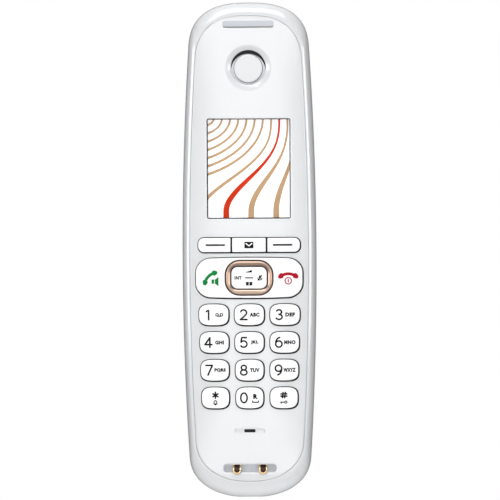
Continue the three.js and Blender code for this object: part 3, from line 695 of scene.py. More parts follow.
def top_slot_outline(by):
    wide, high = TOP_SLOT
    return rounded(0, slot_middle[2], wide - 2 * by, high - 2 * by, max(0.9 - by, 0.3), edge_steps=16)


def mic_slot_outline(by):
    wide, high = MIC_SLOT
    return rounded(0, mic_middle[2], wide - 2 * by, high - 2 * by, max(0.3 - by, 0.15),
                   corner_steps=4, edge_steps=6)


def contact_slot_outline(by):
    wide, high = CONTACT_SLOT
    return rounded(0, CONTACT_Z, wide - 2 * by, high - 2 * by, max(1.1 - by, 0.4), edge_steps=16)


DIGIT_NODES = [f"key_{name}" for name in (*range(1, 10), "star", "0", "hash")]


def front_shell():
    """The crowned face with its openings, rounded over at every edge."""
    holes = [(digit_outline(node), KEY_GAP, 0.12) for node in DIGIT_NODES]
    holes += [(rocker_outline, KEY_GAP, 0.12), (soft_row_outline, KEY_GAP, 0.12)]
    holes += [(mic_slot_outline, 0, 0.08)]
    # The walls of these first openings take the near-black gap finish: painted shade in the gaps round the
    # keys and in the microphone slot.
    shaded_hole_count = len(holes)
    holes += [(window_outline, SEAM, 0.3), (ear_circle, 0, 0.35), (top_slot_outline, 0, 0.12)]
    holes += [(contact_slot_outline, 0, 0.4)]
    back = lambda x, z: dished_face(x, z) + FACE_WALL
    groove_x, groove_z = np.arange(-6.2, 6.3, 0.4), mic_middle[2] + np.arange(-1.2, 1.3, 0.2)
    groove = np.array([(x, z) for x in groove_x for z in groove_z])
    rim = round_over(lambda by: face_outline(SEAM + by), dished_face, 0.3)
    edges = [([*rim, at(face_outline(SEAM), back)], face_outline(SEAM + 0.9))]
    for outline, gap, radius in holes:
        # The openings for keys sit a little to the lower right, where the gap looks widest.
        shift = np.array([KEY_SHADE, -KEY_SHADE]) * (gap == KEY_GAP)
        grown = lambda by, outline=outline, gap=gap, shift=shift: outline(by - gap) + shift
        rings = [*round_over(grown, dished_face, radius, grow=-1), at(grown(0), back)]
        edges.append((rings, grown(-radius - 0.35)))
    reaches = np.arange(EAR_HOLE + 1.2, DISH_RADIUS + 1, 0.4)
    bowl = [soft_oval(0, ear_middle[2], 2 * reach, 2 * reach, 2, 80) for reach in reaches]
    shell = skin(edges, dished_face, back, 1.1, [*bowl, groove], shaded_hole_count)
    piece("front_shell_fine", [shell], [CASING, GAP_PAINTED_SHADE], "handset", "front_shell")


def casing_ring(share, y, more=0.0, limits=(BACK_SIDE, BACK_LOW, BACK_HIGH)):
    """Outline of the casing at y, moved in by this share of the limits and by more."""
    side, low, high = (share * limit + more for limit in limits)
    ring = at(body_outline(side, low, high), y)
    ring[:, 2] = np.maximum(ring[:, 2], 0)
    return ring


def cover_outline(by):
    (_, _, z), size = place("battery_cover")
    wide, high = size[0] + 2 * COVER_MORE - 2 * by, size[2] + 2 * COVER_MORE - 2 * by
    return rounded(0, z, wide, high, COVER_CORNER - by, edge_steps=20)


def back_edge(outline, radius, grow=-1):
    """Rings of a rounded edge in the back, from its surface to the inside of its wall."""
    rings = round_over(outline, lambda x, z: -back_y(x, z), radius, grow=grow, steps=4)
    for ring in rings:
        ring[:, 1] *= -1
    return [*rings, at(outline(0), back_inside)]


def rear_shell():
    """Rim, sides and back in one skin, with the cover's opening and the speaker slots."""
    rim_front = -FRONT + CROWN
    widest = rim_front + RIM_DEPTH
    handover = 0.31
    rim_limits = (RIM_SIDE, RIM_LOW, RIM_HIGH)
    rings = []
    steps = 16
    for share in np.linspace(1, 0, steps + 1)[:-1] * handover:
        rings.append(casing_ring(share, back_level(np.array(share))))
    start = math.asin(SEAM / RIM_SIDE)
    for i in range(steps, -1, -1):
        turn = start + (math.pi / 2 - start) * i / steps
        y = rim_front + RIM_DEPTH * (1 - math.cos(turn))
        rings.append(casing_ring(1 - math.sin(turn), y, limits=rim_limits))
    lip_depth = 2.4
    for drop, grown in ((0.12, 0.7 * SEAM), (0.4, SEAM), (lip_depth, SEAM)):
        rings.append(at(face_outline(-grown), rim_front + drop))
    lip = rim_front + lip_depth
    for y in (lip, widest - 2, widest, widest + 4, widest + 8):
        if y < widest:
            share = 1 - math.sqrt(1 - (1 - (y - rim_front) / RIM_DEPTH) ** 2)
            rings.append(casing_ring(share, y, WALL, rim_limits))
        else:
            deep = ((y - widest) / (BACK - widest)) ** BACK_POWER
            rings.append(casing_ring(1 - (1 - deep) ** (1 / BACK_POWER), y, WALL))
    last = rings[0].copy()
    last[:, 1] -= WALL
    rings.append(last)
    guard_share = handover * 1.12
    guard = body_outline(*(guard_share * limit for limit in (BACK_SIDE, BACK_LOW, BACK_HIGH)))
    edges = [(rings, guard)]

    opening = lambda by: cover_outline(by - COVER_GAP)
    edges.append((back_edge(opening, COVER_EDGE), opening(-COVER_EDGE - 0.5)))
    slot_edge = 0.18
    wide, high = SPEAKER_SLOT
    for i in range(SPEAKER_SLOTS):
        z = SPEAKER_Z + (i - (SPEAKER_SLOTS - 1) / 2) * SPEAKER_PITCH
        slot = lambda by, z=z: rounded(0, z, wide - 2 * by, high - 2 * by, max(0.5 - by, 0.2),
                                       corner_steps=5, edge_steps=8)
        edges.append((back_edge(slot, slot_edge), slot(-slot_edge - 0.5)))
    shell = skin(edges, back_y, back_inside, 1.5)
    piece("rear_shell_fine", [(shell[0], shell[1], 0)], [CASING], "handset", "rear_shell")


def battery_cover():
    """The cover, which carries on the back's own curve."""
    rings = back_edge(lambda by: cover_outline(by + COVER_GAP), COVER_EDGE, grow=1)
    shell = skin([(rings, cover_outline(0.9))], back_y, back_inside, 1.5)
    piece("battery_cover_fine", [(shell[0], shell[1], 0)], [CASING], "cover", "battery_cover")


def tape_sign(x, z, level):
    """Two reels joined by a tape, for recorded messages."""
    reels = [arc(side * 0.84, 0, 0.48, 0.48, 0, 360, 20) for side in (-1, 1)]
    x += 2.1
    return [*strokes(reels, x, z, 1.0, FINE_STROKE, level),
            *strokes([[(-0.7, -0.53), (0, -0.53), (0.7, -0.53)]], x, z, 1.0, SMALL_STROKE, level)]


def star_sign(x, z, level):
    """Six-pointed star over a bell."""
    rays = []
    for turn in (90, 150, 210):
        px, pz = 1.1 * math.cos(math.radians(turn)), 1.1 * math.sin(math.radians(turn))
        rays.append([(-px, -pz), (0, 0), (px, pz)])
    bell = [(-0.75, -0.5), (-0.5, -0.25), *arc(0, 0.15, 0.5, 0.6, 180, 0, 12),
            (0.5, -0.25), (0.75, -0.5), (-0.75, -0.5)]
    clapper = [(-0.2, -0.8), (0, -0.85), (0.2, -0.8)]
    return [*strokes(rays, x, z + 1.0, 1.0, SIGN_STROKE, level),
            *strokes([bell], x, z - 1.75, 1.0, FINE_STROKE, level),
            *strokes([clapper], x, z - 1.75, 1.0, SMALL_STROKE, level)]


def recall_sign(x, z, level):
    """Letter R over an open tray."""
    x += 2.2
    tray = [[(-1.1, -1.2), (-1.1, -1.7)], [(-1.1, -1.7), (0, -1.7), (1.1, -1.7)], [(1.1, -1.7), (1.1, -1.2)]]
    return [letters("R", x, z + 0.5, 1.9, level, 1.7), *strokes(tray, x, z, 1.0, SMALL_STROKE, level)]


def hash_sign(x, z, level):
    """Hash over a small key."""
    bars = []
    for shift in (-0.42, 0.42):
        bars.append([(shift - 0.12, -1.0), (shift, 0), (shift + 0.12, 1.0)])
        bars.append([(-1.1, shift), (0, shift), (1.1, shift)])
    bow = arc(0.75, 0, 0.42, 0.42, 0, 360, 20)
    shank, bit = [(-1.2, 0), (-0.4, 0), (0.33, 0)], [(-1.05, 0), (-1.05, -0.35)]
    return [*strokes(bars, x, z + 1.0, 1.0, 0.58, level),
            *strokes([bow], x, z - 1.7, 1.0, FINE_STROKE, level),
            *strokes([shank, bit], x, z - 1.7, 1.0, SMALL_STROKE, level)]


SIGNS = {"1": tape_sign, "star": star_sign, "0": recall_sign, "hash": hash_sign}
LETTERS = {
    "2": ("ABC", 3.7), "3": ("DEF", 3.6), "4": ("GHI", 3.3), "5": ("JKL", 2.9),
    "6": ("MNO", 4.3), "7": ("PQRS", 4.3), "8": ("TUV", 3.6), "9": ("WXYZ", 4.6),
}


def digit_key(node):
    """Number key with its digit, letters or signs."""
    x, _, z = place(node)[0]
    level = proud(CAP_PROUD)
    sign = node.split("_")[1]
    prints = []
    if sign in DIGITS:
        prints += strokes(DIGITS[sign], x - DIGIT_SIDE, z, DIGIT_SIZE, DIGIT_STROKE, level)
    if sign in LETTERS:
        text, wide = LETTERS[sign]
        prints.append(letters(text, x + LETTER_SIDE, z, LETTER_SIZE, level, wide))
    if sign in SIGNS:
        prints += SIGNS[sign](x, z, level)
    shells = [capped(digit_outline(node), level, CAP_EDGE, 0.9)] + [(*shell, PRINT) for shell in prints]
    piece(node + "_fine", shells, [KEYCAP, KEY_SIDE_SHADE, INK_AND_SHADE], node + "_body", node)


def soft_keys():
    """The two soft keys, each with a dash, and the message key with its envelope."""
    level, over = proud(CAP_PROUD), proud(CAP_PROUD + INK_THICK)
    square = 0.35
    for node, side in (("soft_key_left", -1), ("message_key", 0), ("soft_key_right", 1)):
        (x, _, z), size = place(node)
        left = SOFT_RADIUS if side < 0 else square
        right = SOFT_RADIUS if side > 0 else square
        wide, high = size[0] - SOFT_TRIM * (2 - abs(side)), size[2]
        shift = np.array([SOFT_TRIM / 2 * side, 0])
        outline = lambda by: shift + rounded(x, z, wide - 2 * by, high - 2 * by, max(left - by, 0.25),
                                             max(right - by, 0.25))
        shells = [capped(outline, level, 0.35, 0.9)]
        if side:
            dash = [(s - 0.3 * side, 0) for s in np.linspace(-3.4, 3.4, 9)]
            shells += [(*shell, PRINT) for shell in strokes([dash], x, z, 1.0, 0.66, level)]
        else:
            plate = [(-1.7, -1.22), (1.7, -1.22), (1.7, 1.22), (-1.7, 1.22)]
            shells.append((*slab_print([(x + a, z + b) for a, b in plate], level), PRINT))
            flap = [[(-1.1, 0.55), (0, -0.35)], [(0, -0.35), (1.1, 0.55)]]
            shells += [(*shell, CAP_FACE) for shell in strokes(flap, x, z, 1.0, 0.4, over)]
        piece(node + "_fine", shells, [KEYCAP, KEY_SIDE_SHADE, INK_AND_SHADE], node + "_body", node)


def talk_end_key():
    """The rocking plate, with a green receiver and loudspeaker on its left and a red receiver right."""
    level = proud(CAP_PROUD)
    hole = lambda by: ring_outline(by - KEY_GAP)
    shells = [capped(rocker_outline, level, CAP_EDGE, 1.0, holes=[(hole, 0.3)])]
    z = ROCKER_Z
    steps = 28
    share = np.abs(np.linspace(-1, 1, steps))
    receiver = 1.1 + 0.85 * ease((share - 0.6) / 0.12) - 0.35 * ease((share - 0.9) / 0.1)
    talk = arc(-11.9, z - 2.9, 4.9, 4.9, 170, 100, steps)
    shells.append((*ribbon(talk, receiver, level), PRINT_GREEN))
    magnet = [(-14.2, -2.2), (-13.2, -2.2), (-13.2, -0.6), (-14.2, -0.6)]
    horn = [(-12.95, -2.1), (-11.6, -3.2), (-11.6, 0.4), (-12.95, -0.7)]
    for shape in (magnet, horn):
        shells.append((*slab_print([(a, z + b) for a, b in shape], level), PRINT_GREEN))
    end_x, line = 14.8, 0.4
    end = arc(end_x, z - 3.55, 5.0, 5.0, 128, 52, steps)
    shells.append((*ribbon(end, receiver, level), PRINT_RED))
    shells.append((*ribbon(arc(end_x, z - 1.2, 1.2, 1.2, 90, 450, 32), line, level), PRINT_RED))
    shells.append((*ribbon([(end_x, z - 1.7), (end_x, z - 1.2), (end_x, z - 0.7)], line, level), PRINT_RED))
    materials = [KEYCAP, KEY_SIDE_SHADE, INK_AND_SHADE, INK_GREEN, INK_RED]
    piece("talk_end_key_fine", shells, materials, "talk_end", "talk_end_key")


def nav_ring():
    """Four-way ring: it rises to a crest near its outer edge and falls in towards the centre key."""
    steps, crest_at, edge = 14, 0.3, 0.3
    crest, rim_high, foot = CAP_PROUD + 0.3, CAP_PROUD + 0.1, CAP_PROUD - 0.15
    rings = [at(ring_shape(0), NAV_BASE), at(ring_shape(0), proud(rim_high - edge))]
    for i in range(1, steps + 1):
        share = i / steps
        if share < crest_at:
            rise = rim_high - edge + (crest - rim_high + edge) * math.sin(share / crest_at * math.pi / 2)
        else:
            fall = (share - crest_at) / (1 - crest_at)
            rise = foot + (crest - foot) * math.cos(fall * math.pi / 2) ** 0.9
        rings.append(at(ring_shape(share), proud(rise)))
    rings.append(at(ring_shape(1), NAV_BASE))
    piece("nav_ring_fine", [(*loft(rings, loop=True), 0)], [ROSE_GOLD], "ring", "nav_ring")


def nav_cap():
    """Centre key, slightly hollow, with its five small signs."""
    z = ROCKER_Z
    level = lambda x, z: face_y(x, z) - CAP_PROUD - 0.12 + 0.004 * (x**2 + (z - ROCKER_Z) ** 2)
    shells = [capped(nav_cap_outline, level, 0.35, 0.7, NAV_BASE)]
    wedge = [(-1.25, 1.95), (1.1, 2.05), (1.1, 2.95), (-1.25, 2.15)]
    left_page = [(-1.2, -2.85), (-0.12, -2.95), (-0.12, -1.6), (-1.2, -1.5)]
    right_page = [(0.12, -2.95), (1.2, -2.85), (1.2, -1.5), (0.12, -1.6)]
    prints = [letters("INT", -4.15, z, 1.3, level, 2.7, 0.05)]
    prints += strokes([[(-1.35, 0), (0, 0), (1.35, 0)]], 0, z, 1.0, SMALL_STROKE, level)
    prints += [slab_print([(a, z + b) for a, b in shape], level) for shape in (wedge, left_page, right_page)]
    microphone_x = 4.1
    stand = arc(0, -0.1, 0.75, 0.75, 180, 360, 12)
    slash = [(-0.75, -0.95), (0, 0), (0.75, 0.95)]
    prints += strokes([[(0, -0.1), (0, 0.55)]], microphone_x, z, 1.0, 0.75, level)
    prints += strokes([stand, slash], microphone_x, z, 1.0, 0.36, level)
    shells += [(*shell, PRINT) for shell in prints]
    piece("nav_cap_fine", shells, [KEYCAP, KEY_SIDE_SHADE, INK_AND_SHADE], "ring_centre", "nav_cap")


def earpiece():
    """Disc that sits low in its hole, with a dark half-moon over it that paints the shadow of the hole's
    upper edge, and a pale step round the rest.
    """
    steps = 72
    front = dished_face(np.array([EAR_HOLE]), np.array([ear_middle[2]]))[0] - 0.35
    disc_low, rim, groove_depth, step_depth, well = 0.35, 5.4, 1.2, 0.75, 2.2
    disc_z = ear_middle[2] - disc_low
    turn = np.arange(steps) / steps * 2 * math.pi
    # How far the near-black well shows inside the hole's edge, widest at the top: a painted shadow of the
    # hole's upper edge.
    shadow_crescent = np.clip(0.25 + 1.15 * np.sin(turn), 0, 1.4)
    profile = [(0.02, -0.05), (1.5, -0.05), (3.2, -0.02), (4.6, 0.02), (rim - 0.3, 0.06), (rim - 0.08, 0.2),
               (rim, 0.45), (rim, groove_depth), (rim + 0.09, groove_depth), (rim + 0.09, step_depth)]
    rings = [np.stack([r * np.cos(turn), front + depth + 0 * turn, disc_z + r * np.sin(turn)], axis=1)
             for r, depth in profile]
    shelf = EAR_HOLE + 0.05 - shadow_crescent
    outer, back = 7.5, well + 0.4
    seat = [(shelf, step_depth), (shelf + 0.02, well), (outer, well), (outer, back), (0.02, back)]
    for reach, depth in seat:
        rings.append(np.stack([reach * np.cos(turn), front + depth + 0 * turn,
                               ear_middle[2] + reach * np.sin(turn)], axis=1))
    points, faces = loft(rings)
    numbers = []
    for face in faces:
        x, y, z = points[list(face)].mean(axis=0)
        out = math.hypot(x, z - disc_z) > rim - 0.05
        on_step = abs(y - front - step_depth) < 0.05
        numbers.append(0 if not out else 2 if on_step else 1)
    shell = (points, faces, numbers)
    materials = [EAR, GAP_PAINTED_SHADE, CARRIER]
    piece("earpiece_cap_fine", [shell], materials, "handset", "earpiece_cap", sharp=50)


def picture():
    """Plain stripes on the display panel: arcs in tan that open into a sweep, one of them red, and a
    near-black ring of painted shadow round the edge.
    """
    dress("lcd_panel", PAPER)
    front = place("lcd_panel")[0][1] - place("lcd_panel")[1][1] / 2
    level = lambda x, z: np.full_like(np.asarray(x, float), front - 0.06)
    left, top = -window_size[0] / 2, window_middle[2] + window_size[2] / 2
    high, wide = window_size[2], window_size[0]
    over, first, pitch, red = 0.8, 2.6, 3.1, 8
    shells = []
    for i in range(11):
        start = first + pitch * i
        if i < 7:
            turn = np.linspace(0, math.radians(66), 40)
            path = np.stack([start * (2 * np.cos(turn) - 1), start * 1.155 * np.sin(turn)], axis=1)
            path = np.vstack([[start, -over], path])
            width = np.linspace(0.72, 0.72 + 0.014 * start, len(path))
        else:
            down = np.linspace(-over, high + over, 90)
            sweep = 20.2 - 2.05 * pitch * (i - red)
            bend = np.clip(down / 35, 0, 1) ** 1.4
            across = start - sweep * np.sin(bend * math.pi / 2) ** 2
            path = np.stack([across, down], axis=1)
            swell = 1.5 if i >= red else 0.7
            width = 0.74 + swell * ease((down / high - 0.2) / 0.8)
        seen = (path[:, 0] > -over) & (path[:, 0] < wide + over)
        path = np.stack([left + path[:, 0], top - path[:, 1]], axis=1)[seen]
        shells.append((*ribbon(path, width[seen], level, round_ends=False), int(i == red)))
    # A near-black ring round the picture's edge: painted shadow of the window's edge on the display.
    shadow_outline = rounded(0, window_middle[2], wide, high, 0.6, corner_steps=4, edge_steps=6)
    edge = np.concatenate([shadow_outline, shadow_outline[:1]])
    shells.append((*ribbon(edge, 0.72, lambda x, z: level(x, z) - 0.06), 2))
    piece("display_picture", shells, [TAN, EMBER, INK_AND_SHADE], "handset", None)


def display_window():
    sunk = 0.12
    back = place("display_window")[0][1] + place("display_window")[1][1] / 2
    shell = capped(window_outline, proud(-sunk), 0.12, 1.6, base=back, side=0)
    piece("display_window_fine", [shell], [WINDOW], "handset", "display_window")


def contacts():
    """Two forked leaf contacts that bulge out of their slot."""
    for node in ("contact_left", "contact_right"):
        middle, size = place(node)
        x, low, high = middle[0], middle[2] - size[2] / 2, middle[2] + size[2] / 2 + 1.1
        z, tall = (low + high) / 2, high - low
        outline = lambda by: rounded(x, z, size[0] - 2 * by, tall - 2 * by, 1.2 - by)
        bulge = lambda px, pz: face_y(px, pz) - 0.35 + 1.5 * ease((pz - low - 1.2) / 2.6)
        back = lambda px, pz: bulge(px, pz) + 0.25
        slit = lambda by: rounded(x, z + 0.15, 2.1 - 2 * by, tall - 1.1 - 2 * by, 1.0 - by)
        edges = [([*round_over(outline, bulge, 0.1), at(outline(0), back)], None),
                 ([*round_over(slit, bulge, 0.1, grow=-1), at(slit(0), back)], None)]
        leaf = skin(edges, bulge, back, 0.3)
        # Behind the slit, a dark brown floor: painted shade and the painted dark reflection in the middle of
        # the contact.
        inner = lambda by: rounded(x, z + 0.15, 2.12 - 2 * by, tall - 1.08 - 2 * by, 1.0 - by)
        floor = skin([([at(inner(0), lambda a, b: bulge(a, b) + 0.1), at(inner(0), back)], None)],
                     lambda a, b: bulge(a, b) + 0.1, back, 0.3)
        shells = [(*leaf[:2], 0), (*floor[:2], 1)]
        piece(node + "_fine", shells, [GOLD, CONTACT_SLIT_SHADE], "handset", node)


def mic_gauze():
    """Dark dust cloth behind the microphone's slot."""
    wide, high = MIC_SLOT
    outline = rounded(0, mic_middle[2], wide + 0.8, high + 0.6, 0.4, corner_steps=3, edge_steps=4)
    cloth = slab_print(outline, lambda x, z: face_y(x, z) + FACE_WALL + 0.12, 0.05)
    piece("mic_gauze", [(*cloth, 0)], [RUBBER_DARKENED_FOR_SHADE], "handset", None)


def notch_insert():
    """Plain bar in the slot over the earpiece, tucked under the face but for a gap along its lower edge."""
    tuck, gap = 0.35, 0.27
    wide, tall = TOP_SLOT[0] + 2 * tuck, TOP_SLOT[1] + tuck - gap
    outline = lambda by: rounded(0, slot_middle[2] + (tuck + gap) / 2, wide - 2 * by, tall - 2 * by, 0.9)
    level = lambda x, z: face_y(x, z) + 0.16 + 0.1 * (slot_middle[2] - z)
    shell = capped(outline, level, 0.15, 0.6, base=slot_middle[1] + slot_size[1] / 2, side=0)
    piece("slot_insert_fine", [shell], [NOTCH], "handset", "slot_insert")


def repeated(name, spots, shape, sizes, turn_x, material):
    """One object with the same small shape at every spot, turned about x, made by a node tree.

    shape builds the shape's own nodes from the tree's named inputs, whose values are in sizes.
    """
    tree = bpy.data.node_groups.new(name, "GeometryNodeTree")
    geometry_in = tree.interface.new_socket("Geometry", in_out="INPUT", socket_type="NodeSocketGeometry")
    tree.interface.new_socket("Geometry", in_out="OUTPUT", socket_type="NodeSocketGeometry")
    sockets = {}
    for label in sizes:
        sockets[label] = tree.interface.new_socket(label, in_out="INPUT", socket_type="NodeSocketFloat")
    given = add(tree, "NodeGroupInput")
    made = add(tree, "NodeGroupOutput")
    points = add(tree, "GeometryNodeMeshToPoints")
    spread = add(tree, "GeometryNodeInstanceOnPoints", {"Rotation": (turn_x, 0, 0)})
    real = add(tree, "GeometryNodeRealizeInstances")
    paint = add(tree, "GeometryNodeSetMaterial", {"Material": material})
    tree.links.new(given.outputs[geometry_in.name], points.inputs["Mesh"])
    tree.links.new(points.outputs["Points"], spread.inputs["Points"])
    tree.links.new(shape(tree, given), spread.inputs["Instance"])
    tree.links.new(spread.outputs["Instances"], real.inputs["Geometry"])
    tree.links.new(real.outputs["Geometry"], paint.inputs["Geometry"])
    tree.links.new(paint.outputs["Geometry"], made.inputs["Geometry"])
    seeds = bpy.data.meshes.new(name + "_spots")
    seeds.from_pydata([tuple(c * MM for c in spot) for spot in spots], [], [])
    holder = bpy.data.objects.new(name + "_spots", seeds)
    bpy.context.scene.collection.objects.link(holder)
    modifier = holder.modifiers.new("repeat", "NODES")
    modifier.node_group = tree
    for label, size in sizes.items():
        modifier[sockets[label].identifier] = size * MM
    bpy.context.view_layer.update()
    mesh = bpy.data.meshes.new_from_object(holder.evaluated_get(bpy.context.evaluated_depsgraph_get()))
    bpy.data.objects.remove(holder)
    mesh.name = name
    return closed_object(name, mesh)


def screw_shape(tree, given):
    """Tapered head over a tapered shaft, with the seat of the head at the spot."""
    head = add(tree, "GeometryNodeMeshCone", {"Vertices": 32})
    tree.links.new(given.outputs["Head radius"], head.inputs["Radius Bottom"])
    tree.links.new(given.outputs["Head top radius"], head.inputs["Radius Top"])
    tree.links.new(given.outputs["Head height"], head.inputs["Depth"])
    shaft = add(tree, "GeometryNodeMeshCone", {"Vertices": 24, "Side Segments": 8})
    tree.links.new(given.outputs["Shaft radius"], shaft.inputs["Radius Bottom"])
    tree.links.new(given.outputs["Tip radius"], shaft.inputs["Radius Top"])
    tree.links.new(given.outputs["Shaft length"], shaft.inputs["Depth"])
    under = add(tree, "GeometryNodeTransform", {"Rotation": (math.pi, 0, 0)})
    tree.links.new(shaft.outputs["Mesh"], under.inputs["Geometry"])
    both = add(tree, "GeometryNodeJoinGeometry")
    tree.links.new(head.outputs["Mesh"], both.inputs["Geometry"])
    tree.links.new(under.outputs["Geometry"], both.inputs["Geometry"])
    return both.outputs["Geometry"]


def board_screws():
    """The four screws that hold the main board, as one piece."""
    names = [f"board_screw_{i}" for i in range(1, 5)]
    head_height = 1.2
    spots = []
    for name in names:
        middle, size = place(name)
        spots.append((middle[0], middle[1] + size[1] / 2 - head_height, middle[2]))
    length = place(names[0])[1][1] - head_height
    sizes = {"Head radius": 1.8, "Head top radius": 1.35, "Head height": head_height, "Shaft radius": 0.7,
             "Tip radius": 0.35, "Shaft length": length}
    screws = repeated("board_screws_fine", spots, screw_shape, sizes, -math.pi / 2, STEEL)
    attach(screws, "handset")
    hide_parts(*names)


def flattened_ball(tree, given, segments, rings, scale):
    """Ball of the given radius, scaled by its own amount along each axis."""
    ball = add(tree, "GeometryNodeMeshUVSphere", {"Segments": segments, "Rings": rings})
    tree.links.new(given.outputs["Radius"], ball.inputs["Radius"])
    flat = add(tree, "GeometryNodeTransform", {"Scale": scale})
    tree.links.new(ball.outputs["Mesh"], flat.inputs["Geometry"])
    return flat.outputs["Geometry"]


def dome_shape(tree, given):
    """Shallow snap dome."""
    return flattened_ball(tree, given, 24, 10, (1, 1, 0.1))


def snap_domes():
    """A dome on the dome sheet under the middle of every number key, soft key and message key."""
    middle, size = place("dome_sheet")
    front = middle[1] - size[1] / 2
    nodes = [*DIGIT_NODES, "soft_key_left", "message_key", "soft_key_right"]
    spots = [(place(node)[0][0], front, place(node)[0][2]) for node in nodes]
    domes = repeated("snap_domes", spots, dome_shape, {"Radius": 2.0}, math.pi / 2, STEEL)
    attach(domes, "handset")


def ridge_shape(tree, given):
    """Low rounded bar that lies across the cover."""
    return flattened_ball(tree, given, 32, 16, (1, 0.09, 0.07))


def cover_ridges():
    """Grip bars by the cover's upper edge, where a thumb pushes it off."""
    middle, size = place("battery_cover")
    top, pitch, count = middle[2] + size[2] / 2 - 6, 2.4, 5
    spots = []
    for i in range(count):
        z = top - pitch * i
        spots.append((0, float(back_y(np.zeros(1), np.array([z]))[0]) - 0.1, z))
    ridges = repeated("cover_ridges", spots, ridge_shape, {"Radius": 6.5}, math.pi / 2, CASING)
    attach(ridges, "cover")


FINISHES = {
    "bezel": GREY, "rubber": RUBBER_DARKENED_FOR_SHADE, "board": BOARD, "steel": STEEL, "gold": GOLD,
}


def dress(node, material):
    """Gives a node that stays as it is its finish."""
    frame["nodes"][node].data.materials.clear()
    frame["nodes"][node].data.materials.append(material)


def inside_parts():
    """Finishes of the parts inside, by their slot in the record."""
    for entry in frame["record"]["subparts"]:
        if entry["material_slot"] in FINISHES:
            dress(entry["node"], FINISHES[entry["material_slot"]])
    dress("contact_carrier", CARRIER)
    sleeve = finish("cell_sleeve", (0.03, 0.13, 0.22), 0.3, coat=0.4)
    for node in ("cell_left", "cell_right"):
        dress(node, sleeve)


# Studio.

# Name, degrees to the right, degrees up, metres away, size in metres, glow, and whether it is mirrored.
LAMPS = (
    ("front_softbox", -1, 0, 2.2, (0.75, 1.1), 0.85, True),
    ("front_wide_softbox", -1, 0, 2.3, (1.2, 1.2), 0.75, True),
    ("front_widest_softbox", -1, 0, 2.4, (1.65, 1.2), 0.7, True),
    ("key_softbox", -30, 45, 1.2, (0.3, 0.3), 8.0, True),
    ("left_strip", -62, 3, 2.0, (1.9, 0.5), 4.5, True),
    ("right_strip", 62, 3, 2.0, (1.9, 0.5), 4.5, True),
    ("top_softbox", 0, 70, 1.5, (1.4, 1.1), 3.5, True),
    ("low_softbox", 0, -75, 1.5, (1.4, 1.2), 3.6, False),
    ("back_high_softbox", 180, 28, 2.0, (0.9, 0.5), 4.0, False),
    ("back_left_softbox", -163, 45, 1.6, (0.7, 0.7), 8.0, False),
    ("back_right_softbox", 163, 45, 1.6, (0.7, 0.7), 8.0, False),
)


def lamp(name, azimuth, rise, distance, size, glow, mirrored):
    """Softbox of this glow, azimuth degrees to the right of straight in front, rise degrees up."""
    turn, up = math.radians(azimuth), math.radians(rise)
    aim = Vector((0, 0, LENGTH / 2 * MM))
    away = Vector((math.sin(turn) * math.cos(up), -math.cos(turn) * math.cos(up), math.sin(up)))
    spot = aim + away * distance
    light = bpy.data.lights.new(name, "AREA")
    light.shape, light.size, light.size_y = "RECTANGLE", size[0], size[1]
    light.energy = glow * size[0] * size[1] * math.pi
    holder = bpy.data.objects.new(name, light)
    holder.location = spot
    holder.rotation_mode = "QUATERNION"
    holder.rotation_quaternion = (aim - spot).to_track_quat("-Z", "Y")
    holder.visible_glossy = mirrored
    bpy.context.scene.collection.objects.link(holder)


def white_for_camera(tree, shader, output):
    """Lets the camera see an even white where the shader only lights the object."""
    plain = add(tree, "ShaderNodeEmission", {"Strength": 1.0})
    path = add(tree, "ShaderNodeLightPath")
    mix = add(tree, "ShaderNodeMixShader")
    tree.links.new(path.outputs["Is Camera Ray"], mix.inputs["Fac"])
    tree.links.new(shader, mix.inputs[1])
    tree.links.new(plain.outputs["Emission"], mix.inputs[2])
    tree.links.new(mix.outputs["Shader"], output)


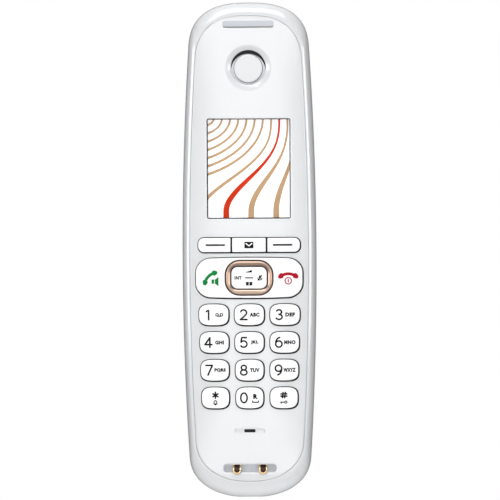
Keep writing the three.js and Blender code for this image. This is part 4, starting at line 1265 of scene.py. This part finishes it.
def studio():
    """White surroundings, a fill that is stronger in front, the lamps and the floor."""
    scene = bpy.context.scene
    scene.view_settings.view_transform = "Standard"
    world = bpy.data.worlds.new("studio")
    scene.world = world
    world.use_nodes = True
    tree = world.node_tree
    sky = tree.nodes["Background"]
    coordinates = add(tree, "ShaderNodeTexCoord")
    apart = add(tree, "ShaderNodeSeparateXYZ")
    tree.links.new(coordinates.outputs["Generated"], apart.inputs["Vector"])
    ramp = add(tree, "ShaderNodeValToRGB")
    front_share = add(tree, "ShaderNodeMapRange", {"From Min": -1.0, "From Max": 1.0})
    tree.links.new(apart.outputs["Y"], front_share.inputs["Value"])
    tree.links.new(front_share.outputs["Result"], ramp.inputs["Fac"])
    ramp.color_ramp.elements[0].position, ramp.color_ramp.elements[1].position = 0.2, 0.62
    ramp.color_ramp.elements[0].color = (FRONT_FILL, FRONT_FILL, FRONT_FILL, 1)
    ramp.color_ramp.elements[1].color = (BACK_FILL, BACK_FILL, BACK_FILL * 1.05, 1)
    tree.links.new(ramp.outputs["Color"], sky.inputs["Color"])
    white_for_camera(tree, sky.outputs["Background"], tree.nodes["World Output"].inputs["Surface"])

    for row in LAMPS:
        lamp(*row)

    size = 1.5
    mesh = bpy.data.meshes.new("floor")
    corners = [(-size, -size, 0), (size, -size, 0), (size, size, 0), (-size, size, 0)]
    mesh.from_pydata(corners, [], [(0, 1, 2, 3)])
    floor = bpy.data.objects.new("floor", mesh)
    pale, tree, surface = bare_material("floor_white")
    clear = add(tree, "ShaderNodeBsdfTransparent")
    white_for_camera(tree, clear.outputs["BSDF"], surface)
    mesh.materials.append(pale)
    bpy.context.scene.collection.objects.link(floor)


def camera():
    """A long view from almost straight in front, a little to the right and above."""
    distance = 6.0
    middle_x, middle_z = 0.1, 93.3
    rise = math.radians(1.5)
    frame_width = 189.322
    data = bpy.data.cameras.new("camera")
    data.sensor_width = 36
    data.lens = 36 * distance / (frame_width * MM)
    holder = bpy.data.objects.new("camera", data)
    azimuth, roll = math.radians(1.5), math.radians(-0.27)
    back = Vector((math.sin(azimuth) * math.cos(rise), -math.cos(azimuth) * math.cos(rise), math.sin(rise)))
    holder.location = Vector((middle_x * MM, 0, middle_z * MM)) + back * distance
    holder.rotation_mode = "QUATERNION"
    holder.rotation_quaternion = (-back).to_track_quat("-Z", "Y") @ Quaternion((0, 0, 1), roll)
    bpy.context.scene.collection.objects.link(holder)
    bpy.context.scene.camera = holder


camera()
studio()
front_shell()
rear_shell()
battery_cover()
for digit in DIGIT_NODES:
    digit_key(digit)
soft_keys()
talk_end_key()
nav_ring()
nav_cap()
earpiece()
picture()
display_window()
contacts()
mic_gauze()
notch_insert()
inside_parts()
board_screws()
snap_domes()
cover_ridges()
